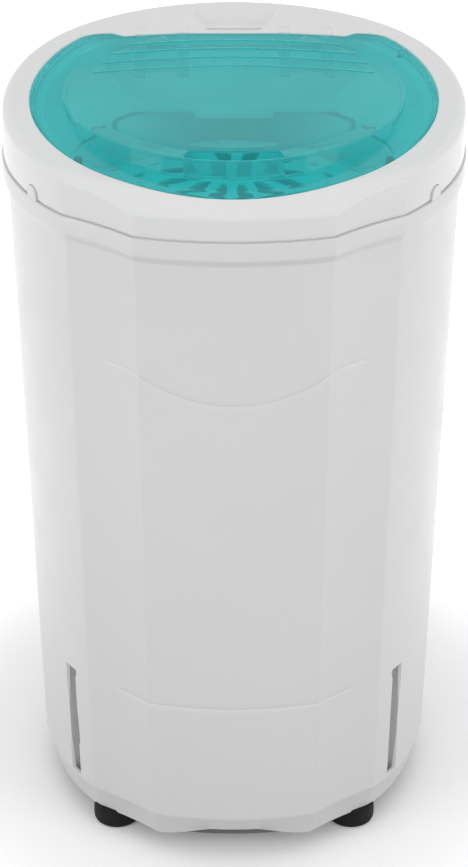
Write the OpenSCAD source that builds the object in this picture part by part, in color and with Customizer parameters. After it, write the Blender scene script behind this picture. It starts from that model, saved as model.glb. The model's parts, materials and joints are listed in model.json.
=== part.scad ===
// Laundry spin dryer: an upright round cabinet on four rubber feet, with a
// translucent lid hinged at the back, a spinning basket with a loose domed
// plate inside its mouth, and a motor hung under the water tub.
//
// Millimetres, +Z up. The front, where the finger grip is, faces -Y. The origin
// is on the floor, under the middle of the dryer's outline. Heights are given
// from the floor; the drum axis lies a few millimetres in front of the middle,
// because the front panel is flatter than the round back.

/* [Cabinet] */
// Largest radius of the cabinet, at its collar
collar_r = 180; // [177:0.5:184]
// Height of the seam between the cabinet and the top ring
seam_z = 585; // [570:1:600]
// Height of the straight collar under the seam
collar_h = 14; // [10:1:18]
// Height of the ramp from the collar in to the wall
collar_ramp_h = 6; // [3:0.5:9]
// Radius of the wall just under the collar
wall_top_r = 176; // [174:0.5:177]
// Radius of the wall at its lower edge
wall_bottom_r = 166.5; // [165:0.5:168]
// Height of the wall's lower edge, where the skirt starts
wall_bottom_z = 45; // [40:1:50]
// Radius of the skirt's lower edge
skirt_r = 160; // [158:0.5:161]
// Wall thickness of the cabinet and of the top ring
shell_t = 2.5; // [2:0.1:3]
// Width of the air slot beside each foot at the front
slot_w = 14.5; // [8:0.5:18]
// Height of the air slot above the wall's lower edge
slot_h = 110; // [80:1:130]
// Angle of the air slot from the front
slot_angle = 53.5; // [51:0.5:58]

/* [Front panels] */
// How far the middle of the front panel lies inside the round
front_flat = 6.5; // [5:0.25:8]
// Distance of the front panel's arc centre behind the drum axis
front_axis = 118; // [100:1:140]
// Depth of the hollow side panels
side_dish = 4.8; // [4:0.2:5.6]
// Distance of the hollow panels' arc centre from the drum axis
side_axis = 446; // [400:2:500]
// Angle of the hollow panels from the front
side_angle = 34.4; // [33.8:0.1:34.6]
// Radius of the curved groove across the front
smile_r = 132; // [120:1:145]
// Height of the lowest point of the curved groove
smile_z = 445; // [420:1:460]
// Half the width of the curved groove
smile_half = 76; // [60:1:80]
// Width of the front grooves
groove_w = 1.6; // [1:0.1:2.5]
// Depth of the front grooves
groove_depth = 0.8; // [0.5:0.1:1.2]
// Height of the straight groove near the bottom
low_groove_z = 158; // [140:1:180]

/* [Top ring] */
// Overall height, at the rear deck
overall_h = 635; // [630:1:645]
// Radius of the top ring
ring_r = 178.5; // [177:0.5:179.5]
// Height of the ring's sloping top above the seam, at the drum axis
top_rise = 42.5; // [41:0.5:44]
// Slope of the ring's top, down to the front, in degrees
top_tilt = 4.4; // [3.8:0.1:5]
// Height of the ring's front face above the seam
front_face_h = 18; // [15:0.5:20]
// Slope of the front chamfer, in degrees
front_slope = 35; // [32:1:38]
// Chamfer along the ring's outer top edge
edge_in = 5; // [3:0.5:7]
// Radius of the lid opening
opening_r = 157; // [155:0.5:159]
// Depth of the ledge under the lid
ledge_drop = 8.4; // [7.5:0.1:9.5]
// Inner radius of the ledge under the lid
ledge_r = 146; // [144:0.5:148]
// Height of the shadow gap at the seam
seam_gap = 1.5; // [1:0.1:2.5]
// Depth of the spigot that seats in the collar
spigot_h = 8; // [6:0.5:10]
// Radius of the cabinet's two locating tabs
tab_r = 7; // [5:0.5:9]
// Angle of the locating tabs from the front
tab_angle = 57; // [50:1:65]
// Half the width of the scoop in the rear deck
scoop_half = 30; // [22:1:32]
// Depth of the scoop in the rear deck
scoop_depth = 5; // [3:0.5:6]

/* [Lid] */
// Gap between the lid's edge and the ring
lid_gap = 0.8; // [0.5:0.1:1.2]
// How far the lid's rim lies below the ring's top
lid_sink = 0.6; // [0.4:0.1:1]
// Wall thickness of the lid
lid_t = 2.5; // [2:0.1:3]
// Radius of the lid's raised middle
dome_r = 131.3; // [126:0.5:134]
// Height of the raised middle above the seam
dome_rise = 45.5; // [44:0.5:47]
// How far the lid's rear edge bows forward at the ends of the ribs
rear_bow = 7; // [3:0.5:8]
// Length of the lid's rim wall, down from its top
rim_h = 7.3; // [6:0.1:7.4]
// Rear edge of the lid, behind the drum axis
lid_rear = 106; // [105:0.5:106.5]
// Width of the finger grip at the back of its opening
grip_back_w = 64; // [50:1:70]
// Width of the finger grip at its front wall
grip_front_w = 75; // [60:1:80]
// Depth of the finger grip from front to back
grip_l = 17; // [14:0.5:24]
// Number of raised ribs across the back of the lid
rib_n = 4; // [3:1:5]
// Spacing of the ribs
rib_pitch = 16.5; // [14:0.5:18]
// Height of the ribs above the lid
rib_h = 0.55; // [0.3:0.05:0.6]

/* [Hinge] */
// Hinge axis, behind the drum axis
hinge_y = 112; // [111.5:0.1:112.5]
// Depth of the hinge axis below the deck
hinge_drop = 4; // [3.8:0.1:4.2]
// Radius of the hinge pins
pin_r = 1.6; // [1.4:0.1:1.8]
// Radius of the knuckles round the pins
knuckle_r = 3.7; // [3.4:0.1:3.8]
// Distance of each hinge from the middle
hinge_x = 57; // [52:0.5:62]
// Width of the ring's knuckle between the lid's two arms
knuckle_w = 24; // [20:0.5:26]
// Width of each lid arm
arm_w = 9; // [6:0.5:10]
// Running clearance of pins, shafts and bearings
run_gap = 0.05; // [0.02:0.01:0.08]
// Side clearance of moving parts
side_gap = 0.5; // [0.3:0.1:0.8]

/* [Splash guard and tub] */
// Radius of the guard's round mouth
mouth_r = 127; // [124:0.5:128]
// Height of the mouth's lower lip
mouth_z = 568; // [566:0.5:570]
// Height of the guard's upper rim
guard_top_z = 600; // [597:0.5:601]
// Straight back wall of the guard, behind the drum axis
guard_back = 104; // [102:0.5:105]
// Straight back edge of the mouth, behind the drum axis
mouth_back = 97; // [94:0.5:99]
// Outer radius of the water tub
tub_r = 154.5; // [152:0.5:155.5]
// Wall thickness of the tub
tub_t = 3; // [2.5:0.1:3.5]
// Height of the tub's underside
tub_z = 214; // [206:1:224]
// Height of the tub's flange underside
tub_flange_z = 551.5; // [545:0.5:553]
// Radius of the tub's flange
tub_flange_r = 162.5; // [161:0.5:163]

/* [Basket] */
// Outer radius of the basket
basket_r = 140; // [136:0.5:142]
// Wall thickness of the basket
basket_t = 2; // [1.5:0.1:3]
// Height of the basket's underside above the tub's underside
basket_lift = 24; // [22:1:30]
// Height of the basket's mouth, at the top of the balance ring
basket_top_z = 564; // [560:0.5:564.5]
// Inner radius of the balance ring
balance_in_r = 126; // [124:0.5:128]
// Height of the balance ring
balance_h = 28; // [22:1:32]
// Number of drain holes round each row
hole_n = 20; // [12:2:28]
// Number of rows of drain holes
hole_rows = 7; // [4:1:8]
// Radius of the drain holes
hole_r = 3; // [2:0.25:4]
// Radius of the domed plate's rim
plate_r = 121; // [117:0.5:122]
// Radius of curvature of the domed plate
plate_curve = 262; // [240:2:320]
// Height of the domed plate's crown
plate_top_z = 562; // [558:0.5:564]
// Thickness of the domed plate
plate_t = 2.2; // [1.8:0.1:3]
// Number of petal holes in the plate
petal_n = 12; // [8:1:14]

/* [Drive] */
// Radius of the drive shaft
shaft_r = 7; // [6:0.25:8]
// Radius of the brake drum
drum_r = 45; // [40:1:48]
// Height of the brake drum
drum_h = 14; // [10:1:14]
// Outer radius of the motor
motor_r = 60; // [56:1:68]
// Height of the motor's stator
stator_h = 44; // [38:1:54]
// Height of each motor end cover
cover_h = 22; // [20:1:26]
// Outer radius of the rotor
rotor_r = 30; // [26:0.5:32]
// Air gap between the rotor and the stator
air_gap = 0.5; // [0.4:0.1:0.8]
// Outer radius of the ball bearings
bearing_r = 16; // [14:0.5:18]
// Radius of the steel motor plate
plate_mount_r = 100; // [96:1:102]
// Radius on which the rubber mounts sit
isolator_ring_r = 84; // [80:1:86]
// Radius of the rubber mounts
isolator_r = 12; // [9:0.5:13]
// Height of the rubber mounts
isolator_h = 14; // [12:1:18]
// Clearance of the brake lining from the drum with the lid closed
brake_gap = 3; // [2.5:0.1:3.5]

/* [Base] */
// Height of the rubber feet
foot_h = 20; // [16:1:24]
// Radius of the rubber feet
foot_r = 20; // [16:0.5:22]
// Radius on which the feet stand
foot_ring_r = 142; // [138:0.5:144]
// Thickness of the base tray
tray_t = 4; // [3:0.5:5]
// Outer radius of the drain spout
spout_r = 12; // [10:0.5:13]
// Bore radius of the drain spout
spout_bore_r = 9.5; // [7.5:0.25:9.5]
// Height of the drain spout's centre
spout_z = 75; // [68:1:85]
// Radius of the capacitor
capacitor_r = 20; // [16:0.5:22]

/* [Hidden] */
$fn = 96;

// Small margins: over makes cutters pass through a face
over = 1;
seat_gap = 0.3;
axis_y = -front_flat / 2;

white = [0.88, 0.88, 0.88];
teal = [0.25, 0.76, 0.75, 0.55];
steel = [0.7, 0.71, 0.73];
black = [0.08, 0.08, 0.09];

// The cabinet's outline: round, with a flatter front panel and a hollow panel
// on each side of it. Points are [radius, height].
ramp_z = seam_z - collar_h - collar_ramp_h;
collar_z = seam_z - collar_h;

function wall_r(z) = wall_bottom_r
    + (wall_top_r - wall_bottom_r) * (z - wall_bottom_z) / (ramp_z - wall_bottom_z);

module revolve(profile) {
    last = len(profile) - 1;
    rotate_extrude()
        polygon(concat([[0, profile[0][1]]], profile, [[0, profile[last][1]]]));
}

// One band of the outline, between two neighbouring points of its profile. The
// front and side tools run past both of its ends.
side_sweep = 40;
module form_band(low, high) {
    lean = (high[0] - low[0]) / (high[1] - low[1]);
    z0 = low[1] - over;
    z1 = high[1] + over;
    r0 = low[0] - lean * over;
    r1 = high[0] + lean * over;
    difference() {
        intersection() {
            revolve([low, high]);
            translate([0, front_axis, z0])
                cylinder(h = z1 - z0, r1 = front_axis - front_flat + r0,
                    r2 = front_axis - front_flat + r1);
        }
        for (s = [-1, 1])
            rotate(s * side_angle) translate([0, -side_axis, 0])
                rotate(90 - side_sweep / 2) rotate_extrude(angle = side_sweep)
                    polygon([[0, z0], [side_axis + side_dish - r0, z0],
                        [side_axis + side_dish - r1, z1], [0, z1]]);
    }
}

// The cabinet's body, inset by t: skirt, wall, ramp and collar. The ramp starts
// inside the wall, so that the two cross cleanly.
module body_form(t, below, above) {
    form_band([skirt_r - t, foot_h - below], [wall_bottom_r - t, wall_bottom_z]);
    form_band([wall_bottom_r - t, wall_bottom_z], [wall_r(collar_z) - t, collar_z]);
    form_band([wall_r(ramp_z) - t - 0.6, ramp_z - 0.9], [collar_r - t, collar_z]);
    form_band([collar_r - t, collar_z], [collar_r - t, seam_z + above]);
}

// A straight slab of the outline between two heights
module form_slab(r, z0, z1) form_band([r, z0], [r, z1]);

// Places the children at the drum axis, which the dryer's middle is behind
module on_axis() translate([0, axis_y, 0]) children();

// Everything below the ring's top surface, lowered by drop
top_z = seam_z + top_rise;
front_edge_z = seam_z + front_face_h;
top_depth = 75;
module below_top(drop) {
    r_top = ring_r - edge_in;
    front_r = front_axis + ring_r - front_flat;
    front_up = 60;
    intersection() {
        translate([0, 0, top_z - drop]) rotate([top_tilt, 0, 0])
            translate([0, 0, -top_depth])
                cylinder(h = top_depth, r1 = r_top + top_depth, r2 = r_top);
        translate([0, 0, overall_h - drop - top_depth])
            cylinder(h = top_depth, r1 = r_top + top_depth, r2 = r_top);
        translate([0, front_axis, front_edge_z - drop - top_depth])
            cylinder(h = top_depth + front_up,
                r1 = front_r + top_depth / tan(front_slope),
                r2 = front_r - front_up / tan(front_slope));
    }
}

module tube(r_out, r_in, h) {
    difference() {
        cylinder(h = h, r = r_out);
        translate([0, 0, -over]) cylinder(h = h + 2 * over, r = r_in);
    }
}

module x_rod(r, x0, x1, y, z)
    translate([x0, y, z]) rotate([0, 90, 0]) cylinder(h = x1 - x0, r = r);

// Seat heights inside the cabinet
spigot_t = 2.5;
spigot_r = collar_r - shell_t - seat_gap;
spigot_z = seam_z - spigot_h;
seat_r = 172;
seat_t = 2.5;
shelf_r = tub_r + 3.5;
cable_angle = 118;
cable_r = 2.5;
cable_up_r = 167;
cable_low_r = 161;

// Feet, tray and their screws
foot_angles = [45, -45, 135, -135];
boss_r = 9;
boss_h = 34;
screw_r = 2.5;
tray_z = foot_h;
boss_z = tray_z + tray_t;

module at_foot(i) rotate(foot_angles[i]) translate([0, -foot_ring_r, 0]) children();

// ---------------------------------------------------------------- cabinet
spout_hole_gap = 0.5;
spout_collar_r = spout_r + 3;
gland_angle = 152;
gland_z = 62;
gland_r = 9;
ring_screw_angles = [140, 180, 220];
ring_screw_r = 2;
ring_screw_z = seam_z - 5;
tab_inset = 0.2;
arch_half = 45;
arch_h = 11;
arch_r = (arch_half * arch_half + arch_h * arch_h) / (2 * arch_h);
side_clear = 120;

module slots() {
    for (s = [-1, 1])
        rotate(s * slot_angle)
            translate([-slot_w / 2, -wall_bottom_r - 3 * over, wall_bottom_z + over])
                cube([slot_w, 14, slot_h]);
}

module front_grooves() {
    reach = wall_top_r + over;
    smile_top = smile_z + smile_r - sqrt(smile_r * smile_r - smile_half * smile_half);
    side_run = 28;
    difference() {
        union() {
            intersection() {
                translate([0, 0, smile_z + smile_r]) rotate([90, 0, 0])
                    tube(smile_r + groove_w / 2, smile_r - groove_w / 2, reach);
                translate([-smile_half, -reach, smile_z - groove_w])
                    cube([2 * smile_half, reach, smile_top - smile_z + groove_w]);
            }
            for (s = [-1, 1])
                translate([s * (smile_half + side_run / 2) - side_run / 2, -reach,
                    smile_top - groove_w])
                    cube([side_run, reach, groove_w]);
            translate([-smile_half - side_run, -reach, low_groove_z])
                cube([2 * (smile_half + side_run), reach, groove_w]);
        }
        body_form(groove_depth, 0, 0);
    }
}

module tabs(grow) {
    for (s = [-1, 1])
        rotate(s * tab_angle) {
            translate([0, 0, seam_z + tab_r / 2]) rotate([90, 0, 0])
                cylinder(h = collar_r, r = tab_r + grow);
            translate([-tab_r - grow, -collar_r, seam_z - over])
                cube([2 * (tab_r + grow), collar_r, tab_r / 2 + over]);
        }
}

module cabinet() color(white) on_axis() {
    difference() {
        union() {
            difference() {
                body_form(0, 0, 0);
                body_form(shell_t, over, over);
            }
            // seat for the top ring's spigot
            difference() {
                form_slab(collar_r - over, spigot_z - seat_t, spigot_z);
                translate([0, 0, spigot_z - seat_t - over])
                    cylinder(h = seat_t + 2 * over, r = seat_r);
            }
            // shelf under the tub's flange
            difference() {
                form_slab(wall_top_r - over, tub_flange_z - seat_t, tub_flange_z);
                translate([0, 0, tub_flange_z - seat_t - over])
                    cylinder(h = seat_t + 2 * over, r = shelf_r);
            }
            // bosses that the feet and the base tray are screwed to
            intersection() {
                for (i = [0:3])
                    at_foot(i) {
                        translate([0, 0, boss_z]) cylinder(h = boss_h, r = boss_r);
                        translate([-2, -40, boss_z]) cube([4, 40, boss_h]);
                    }
                body_form(shell_t / 2, 0, 0);
            }
            // locating tabs that reach up into the ring
            intersection() {
                tabs(0);
                difference() {
                    form_slab(collar_r - tab_inset, seam_z - over, overall_h);
                    form_slab(collar_r - shell_t + tab_inset, seam_z - 2 * over,
                        overall_h + over);
                }
            }
        }
        slots();
        front_grooves();
        for (i = [0:3])
            at_foot(i) translate([0, 0, boss_z - over])
                cylinder(h = boss_h - 3, r = screw_r + run_gap);
        // drain spout, cord gland and ring screws at the back
        translate([0, tub_r, spout_z]) rotate([-90, 0, 0])
            cylinder(h = 40, r = spout_collar_r + spout_hole_gap);
        rotate(gland_angle) translate([0, -skirt_r + 10, gland_z]) rotate([90, 0, 0])
            cylinder(h = 30, r = gland_r);
        for (a = ring_screw_angles)
            rotate(a) translate([0, -collar_r - over, ring_screw_z]) rotate([-90, 0, 0])
                cylinder(h = 14, r = ring_screw_r + run_gap);
        // way past the shelf for the brake cable
        rotate(cable_angle) translate([0, -cable_up_r, tub_flange_z - seat_t - over])
            cylinder(h = seat_t + 2 * over, r = cable_r + side_gap);
        // front of the skirt arches up between the feet
        translate([0, -side_clear, foot_h + arch_h - arch_r]) rotate([90, 0, 0])
            cylinder(h = collar_r - side_clear, r = arch_r);
    }
}

// ---------------------------------------------------------------- top ring
deck_edge = lid_rear + 1.8;
arm_slot_y = deck_edge - rear_bow;
apron_y = 118;
rim_t = 2.5;
hinge_z = overall_h - hinge_drop;
arm_x = [knuckle_w / 2 + side_gap, knuckle_w / 2 + side_gap + arm_w];
guard_screw_angles = [30, 100, -30, -100];
guard_screw_ring_r = 152;
guard_screw_r = 2;
striker_angle = 120;
striker_ring_r = 151.5;
plunger_r = 1.6;
striker_r = 1.8;

module front_half(y) translate([-300, -300, 0]) cube([600, 300 + y, overall_h + 20]);

// The same, with an edge that bows forward towards its ends
bow_half = 98;
bow_r = bow_half * bow_half / (2 * rear_bow);
module front_bowed(y) translate([0, y - bow_r, 0]) cylinder(h = overall_h + 20, r = bow_r);

module ledge_band(r_out, r_in, z0) {
    difference() {
        translate([0, 0, z0]) cylinder(h = overall_h - z0, r = r_out);
        translate([0, 0, z0 - over]) cylinder(h = overall_h - z0 + 2 * over, r = r_in);
    }
}

module scoop(grow, depth) {
    near = deck_edge - over - grow;
    far = hinge_y + 42 + grow;
    translate([0, 0, overall_h - depth])
        linear_extrude(depth + over)
            polygon([[-scoop_half - grow, near], [scoop_half + grow, near],
                [scoop_half - 5 + grow, hinge_y + 8], [scoop_half - 3 + grow, hinge_y + 24],
                [scoop_half + grow, far], [-scoop_half - grow, far],
                [3 - scoop_half - grow, hinge_y + 24], [5 - scoop_half - grow, hinge_y + 8]]);
}

module ring_skin() {
    difference() {
        intersection() {
            form_slab(ring_r, seam_z + seam_gap, overall_h + over);
            below_top(0);
        }
        difference() {
            intersection() {
                form_slab(ring_r - shell_t, seam_z, overall_h);
                below_top(shell_t);
            }
            // floor of the scoop stays solid
            scoop(shell_t, scoop_depth + shell_t);
        }
    }
}

module top_ring() color(white) on_axis() {
    difference() {
        union() {
            difference() {
                ring_skin();
                // lid opening
                intersection() {
                    translate([0, 0, seam_z]) cylinder(h = overall_h, r = opening_r);
                    front_bowed(deck_edge);
                }
            }
            intersection() {
                front_half(apron_y);
                union() {
                    // wall round the opening, from the ledge up
                    intersection() {
                        ledge_band(opening_r + rim_t, opening_r, guard_top_z);
                        below_top(shell_t / 2);
                        union() {
                            front_bowed(deck_edge);
                            below_top(shell_t);
                        }
                    }
                    // ledge under the lid's rim
                    difference() {
                        intersection() {
                            ledge_band(opening_r + rim_t, ledge_r, seam_z + over);
                            below_top(ledge_drop);
                        }
                        difference() {
                            below_top(ledge_drop + rim_t);
                            ledge_band(ledge_r + rim_t, ledge_r - over, guard_top_z);
                        }
                        translate([0, 0, seam_z]) cylinder(h = guard_top_z - seam_z,
                            r = opening_r + rim_t + over);
                    }
                }
            }
            // apron that closes the ring behind the hinges
            intersection() {
                translate([-opening_r, apron_y, guard_top_z])
                    cube([2 * opening_r, rim_t, overall_h]);
                cylinder(h = overall_h, r = opening_r + rim_t);
                below_top(shell_t / 2);
            }
            // knuckles for the hinge pins, carried by the apron
            for (s = [-1, 1])
                translate([s * hinge_x - knuckle_w / 2, 0, 0]) {
                    x_rod(knuckle_r, 0, knuckle_w, hinge_y, hinge_z);
                    translate([0, hinge_y, hinge_z - knuckle_r])
                        cube([knuckle_w, apron_y - hinge_y + over, knuckle_r]);
                }
            // bosses for the splash guard's screws
            intersection() {
                for (a = guard_screw_angles)
                    rotate(a) translate([0, -guard_screw_ring_r, guard_top_z])
                        cylinder(h = overall_h - guard_top_z, r = 4);
                below_top(ledge_drop + rim_t / 2);
            }
            // spigot that seats inside the collar
            difference() {
                form_slab(spigot_r, spigot_z, seam_z + 2 * seam_gap);
                form_slab(spigot_r - spigot_t, spigot_z - over, seam_z + 2 * seam_gap + over);
            }
        }
        scoop(0, scoop_depth);
        // slots in the deck for the lid's arms
        for (s = [-1, 1], t = [-1, 1])
            translate([s * hinge_x + t * (arm_x[0] + arm_x[1]) / 2
                - arm_w / 2 - side_gap, arm_slot_y, hinge_z - knuckle_r])
                cube([arm_w + 2 * side_gap, hinge_y - arm_slot_y + knuckle_r + over, 20]);
        for (s = [-1, 1])
            x_rod(pin_r + run_gap, s * hinge_x - knuckle_w / 2 - over,
                s * hinge_x + knuckle_w / 2 + over, hinge_y, hinge_z);
        for (a = guard_screw_angles)
            rotate(a) translate([0, -guard_screw_ring_r, guard_top_z - over])
                cylinder(h = 6 + over, r = guard_screw_r + run_gap);
        // hole for the switch plunger
        rotate(striker_angle) translate([0, -striker_ring_r, seam_z])
            cylinder(h = overall_h, r = plunger_r + run_gap);
        for (a = ring_screw_angles)
            rotate(a) translate([0, -collar_r - over, ring_screw_z]) rotate([-90, 0, 0])
                cylinder(h = 14, r = ring_screw_r + run_gap);
        // notches over the cabinet's locating tabs
        intersection() {
            tabs(side_gap);
            difference() {
                translate([0, 0, seam_z - over]) cylinder(h = 40, r = collar_r + over);
                translate([0, 0, seam_z - 2 * over])
                    cylinder(h = 44, r = collar_r - shell_t - side_gap - 7);
            }
        }
    }
    // webs that close the notches behind the tabs
    for (s = [-1, 1])
        rotate(s * tab_angle)
            intersection() {
                translate([-tab_r - 3, -collar_r, seam_z + seam_gap])
                    cube([2 * tab_r + 6, collar_r - opening_r + 10, 2 * tab_r]);
                rotate(-s * tab_angle) difference() {
                    form_slab(collar_r - shell_t - side_gap, seam_z, overall_h);
                    form_slab(collar_r - shell_t - side_gap - rim_t, seam_z - over,
                        overall_h + over);
                }
            }
}

module ring_screws() color(steel) on_axis()
    for (a = ring_screw_angles)
        rotate(a) translate([0, -collar_r, ring_screw_z]) rotate([-90, 0, 0]) {
            cylinder(h = 9, r = ring_screw_r);
        }

// ---------------------------------------------------------------- base
module base_tray() color([0.75, 0.75, 0.76]) on_axis()
    difference() {
        union() {
            form_slab(skirt_r - shell_t - seat_gap, tray_z, tray_z + tray_t);
            capacitor_at() tube(capacitor_r + 2.6, capacitor_r + seat_gap, 12);
        }
        for (i = [0:3])
            at_foot(i) translate([0, 0, tray_z - over])
                cylinder(h = tray_t + 2 * over, r = screw_r + run_gap);
        // air slots under the motor
        for (i = [-4:4], s = [-1, 1])
            translate([i * 14 - 3, s * 36 - 22, tray_z - over])
                cube([6, 44, tray_t + 2 * over]);
    }

module foot(i) color(black) on_axis()
    at_foot(i) difference() {
        rotate_extrude()
            polygon([[0, 0], [foot_r - 3, 0], [foot_r, 4], [foot_r, foot_h - 3],
                [foot_r - 2, foot_h], [0, foot_h]]);
        translate([0, 0, -over]) cylinder(h = foot_h + 2 * over, r = screw_r + run_gap);
        translate([0, 0, -over]) cylinder(h = 7 + over, r = 6);
    }
module foot_front_left() foot(1);
module foot_front_right() foot(0);
module foot_rear_left() foot(3);
module foot_rear_right() foot(2);

module foot_screws() color(steel) on_axis()
    for (i = [0:3])
        at_foot(i) {
            translate([0, 0, 7]) cylinder(h = boss_z + boss_h - 12, r = screw_r);
            translate([0, 0, 4]) cylinder(h = 3, r = 5);
        }

// ---------------------------------------------------------------- lid
lid_r = opening_r - lid_gap;
dome_z = seam_z + dome_rise;
grip_front = dome_r - lid_t;

module lid_body(t) {
    extra = t > 0 ? over : 0;
    intersection() {
        front_bowed(lid_rear + (t > 0 ? 20 : 0));
        difference() {
            union() {
                intersection() {
                    translate([0, 0, seam_z - extra])
                        cylinder(h = overall_h - seam_z, r = lid_r - t);
                    below_top(lid_sink + t);
                }
                translate([0, 0, seam_z]) cylinder(h = dome_rise - t, r = dome_r - t);
            }
            // finger grip, sunk to the level of the rim
            difference() {
                intersection() {
                    translate([0, 0, seam_z])
                        linear_extrude(overall_h)
                            offset_trapezoid(t);
                    cylinder(h = overall_h, r = grip_front + t);
                }
                below_top(lid_sink + t);
            }
        }
    }
}

module offset_trapezoid(t)
    polygon([[-grip_back_w / 2 - t, grip_l - dome_r + lid_t + t],
        [grip_back_w / 2 + t, grip_l - dome_r + lid_t + t],
        [grip_front_w / 2 + t, -dome_r - over - t], [-grip_front_w / 2 - t, -dome_r - over - t]]);

module lid() color(teal) on_axis() {
    difference() {
        lid_body(0);
        lid_body(lid_t);
        // the rim wall ends above the ledge
        translate([0, 0, top_z - rim_h - lid_sink]) rotate([top_tilt, 0, 0])
            translate([0, 0, -2 * top_depth]) cylinder(h = 2 * top_depth, r = 2 * collar_r);
    }
    // raised ribs across the back
    for (i = [1:rib_n]) {
        y = lid_rear - i * rib_pitch + 2;
        half = sqrt(dome_r * dome_r - y * y) - 4;
        intersection() {
            translate([-half, y - 1.5, seam_z]) cube([2 * half, 3, overall_h]);
            difference() {
                below_top(lid_sink - rib_h);
                below_top(lid_sink + lid_t / 2);
            }
        }
    }
}

// Arms under the lid, one each side of the ring's knuckle, joined by a web
module hinge_arm(s) color(teal) on_axis()
    translate([s * hinge_x, 0, 0]) {
        low = hinge_z - 8;
        front = 50;
        difference() {
            union() {
                intersection() {
                    union() {
                        for (t = [-1, 1])
                            translate([t * (arm_x[0] + arm_x[1]) / 2 - arm_w / 2, front, low])
                                cube([arm_w, lid_rear - front, 40]);
                        translate([-arm_x[1], front, low])
                            cube([2 * arm_x[1], 12, 40]);
                    }
                    translate([-s * hinge_x, 0, 0]) below_top(lid_sink + lid_t);
                }
                for (t = [-1, 1]) {
                    x0 = t * (arm_x[0] + arm_x[1]) / 2 - arm_w / 2;
                    x_rod(knuckle_r, x0, x0 + arm_w, hinge_y, hinge_z);
                    translate([x0, lid_rear - 6, hinge_z - knuckle_r])
                        cube([arm_w, hinge_y - lid_rear + 6, knuckle_r]);
                }
            }
            x_rod(pin_r + run_gap, -arm_x[1] - over, arm_x[1] + over, hinge_y, hinge_z);
        }
    }
module hinge_arm_left() hinge_arm(-1);
module hinge_arm_right() hinge_arm(1);

module hinge_pin(s) color(steel) on_axis()
    x_rod(pin_r, s * hinge_x - arm_x[1], s * hinge_x + arm_x[1], hinge_y, hinge_z);
module hinge_pin_left() hinge_pin(-1);
module hinge_pin_right() hinge_pin(1);

striker_l = 3;
module at_striker() rotate(striker_angle) translate([0, -striker_ring_r, 0]) children();

module lid_striker() color(teal) on_axis()
    difference() {
        intersection() {
            at_striker() translate([0, 0, seam_z]) cylinder(h = overall_h, r = striker_r);
            below_top(lid_sink + lid_t);
        }
        below_top(lid_sink + lid_t + striker_l);
    }

// Soft stops on the ledge that the lid's rim comes down on
buffer_angles = [-50, 50];
buffer_r = 2.8;
buffer_ring_r = lid_r - lid_t - buffer_r - 0.9;
module lid_buffers() color(black) on_axis()
    difference() {
        intersection() {
            for (a = buffer_angles)
                rotate(a) translate([0, -buffer_ring_r, seam_z])
                    cylinder(h = overall_h, r = buffer_r);
            below_top(lid_sink + lid_t + seat_gap);
        }
        below_top(ledge_drop);
    }

plunger_travel = 3;
module switch_plunger() color([0.85, 0.2, 0.15]) on_axis()
    difference() {
        intersection() {
            at_striker() translate([0, 0, seam_z]) cylinder(h = overall_h, r = plunger_r);
            below_top(lid_sink + lid_t + striker_l + seat_gap);
        }
        below_top(ledge_drop + rim_t + 5);
    }

module lid_switch() color(black) on_axis()
    difference() {
        intersection() {
            at_striker() translate([-14, -4.4, guard_top_z]) cube([28, 6.8, overall_h]);
            below_top(ledge_drop + rim_t);
        }
        below_top(ledge_drop + rim_t + 14);
        at_striker() translate([0, 0, seam_z]) cylinder(h = overall_h, r = plunger_r + run_gap);
    }

// ---------------------------------------------------------------- splash guard
guard_t = 2.5;
guard_skirt_r = 158.5;
gasket_t = 2;
gasket_z = tub_flange_z + tub_t;
guard_in_r = ledge_r - 1;
back_shelf_z = mouth_z + 5;
back_wall_top = hinge_z - 13;

module splash_guard() color(white) on_axis()
    difference() {
        union() {
            rotate_extrude()
                polygon([[mouth_r, mouth_z], [guard_in_r, guard_top_z],
                    [guard_skirt_r, guard_top_z], [guard_skirt_r, gasket_z + gasket_t],
                    [guard_skirt_r - guard_t, gasket_z + gasket_t],
                    [guard_skirt_r - guard_t, guard_top_z - guard_t],
                    [guard_in_r + guard_t, guard_top_z - guard_t],
                    [mouth_r + guard_t, mouth_z]]);
            intersection() {
                union() {
                    // straight back wall and its shelf
                    translate([-opening_r, guard_back, mouth_z])
                        cube([2 * opening_r, guard_t, back_wall_top - mouth_z]);
                    translate([-opening_r, mouth_back, mouth_z])
                        cube([2 * opening_r, guard_back - mouth_back + over, 5]);
                    translate([-opening_r, guard_back, back_wall_top - guard_t])
                        cube([2 * opening_r, apron_y - guard_back, guard_t]);
                    // stepped bars across the foot of the wall
                    translate([-41, guard_back - 5, back_shelf_z - over])
                        cube([82, 5 + over, 4]);
                    translate([-32, mouth_back - 2, mouth_z - 5])
                        cube([64, 3, 8]);
                }
                union() {
                    translate([0, 0, mouth_z - 10])
                        cylinder(h = 10, r = mouth_r - over);
                    translate([0, 0, mouth_z])
                        cylinder(h = guard_top_z - mouth_z, r1 = mouth_r + over,
                            r2 = guard_in_r + over);
                    translate([0, 0, guard_top_z - over])
                        cylinder(h = overall_h, r = ledge_r - seat_gap);
                }
            }
        }
        for (a = guard_screw_angles)
            rotate(a) translate([0, -guard_screw_ring_r, guard_top_z - 2 * guard_t])
                cylinder(h = 4 * guard_t, r = guard_screw_r + run_gap);
    }

module guard_screws() color(steel) on_axis()
    for (a = guard_screw_angles)
        rotate(a) translate([0, -guard_screw_ring_r, guard_top_z - guard_t]) {
            cylinder(h = guard_t + 5, r = guard_screw_r);
            translate([0, 0, -2]) cylinder(h = 2, r = 3.6);
        }

module tub_gasket() color(black) on_axis()
    translate([0, 0, gasket_z]) tube(guard_skirt_r + 1, guard_skirt_r - guard_t - 1, gasket_t);

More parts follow.
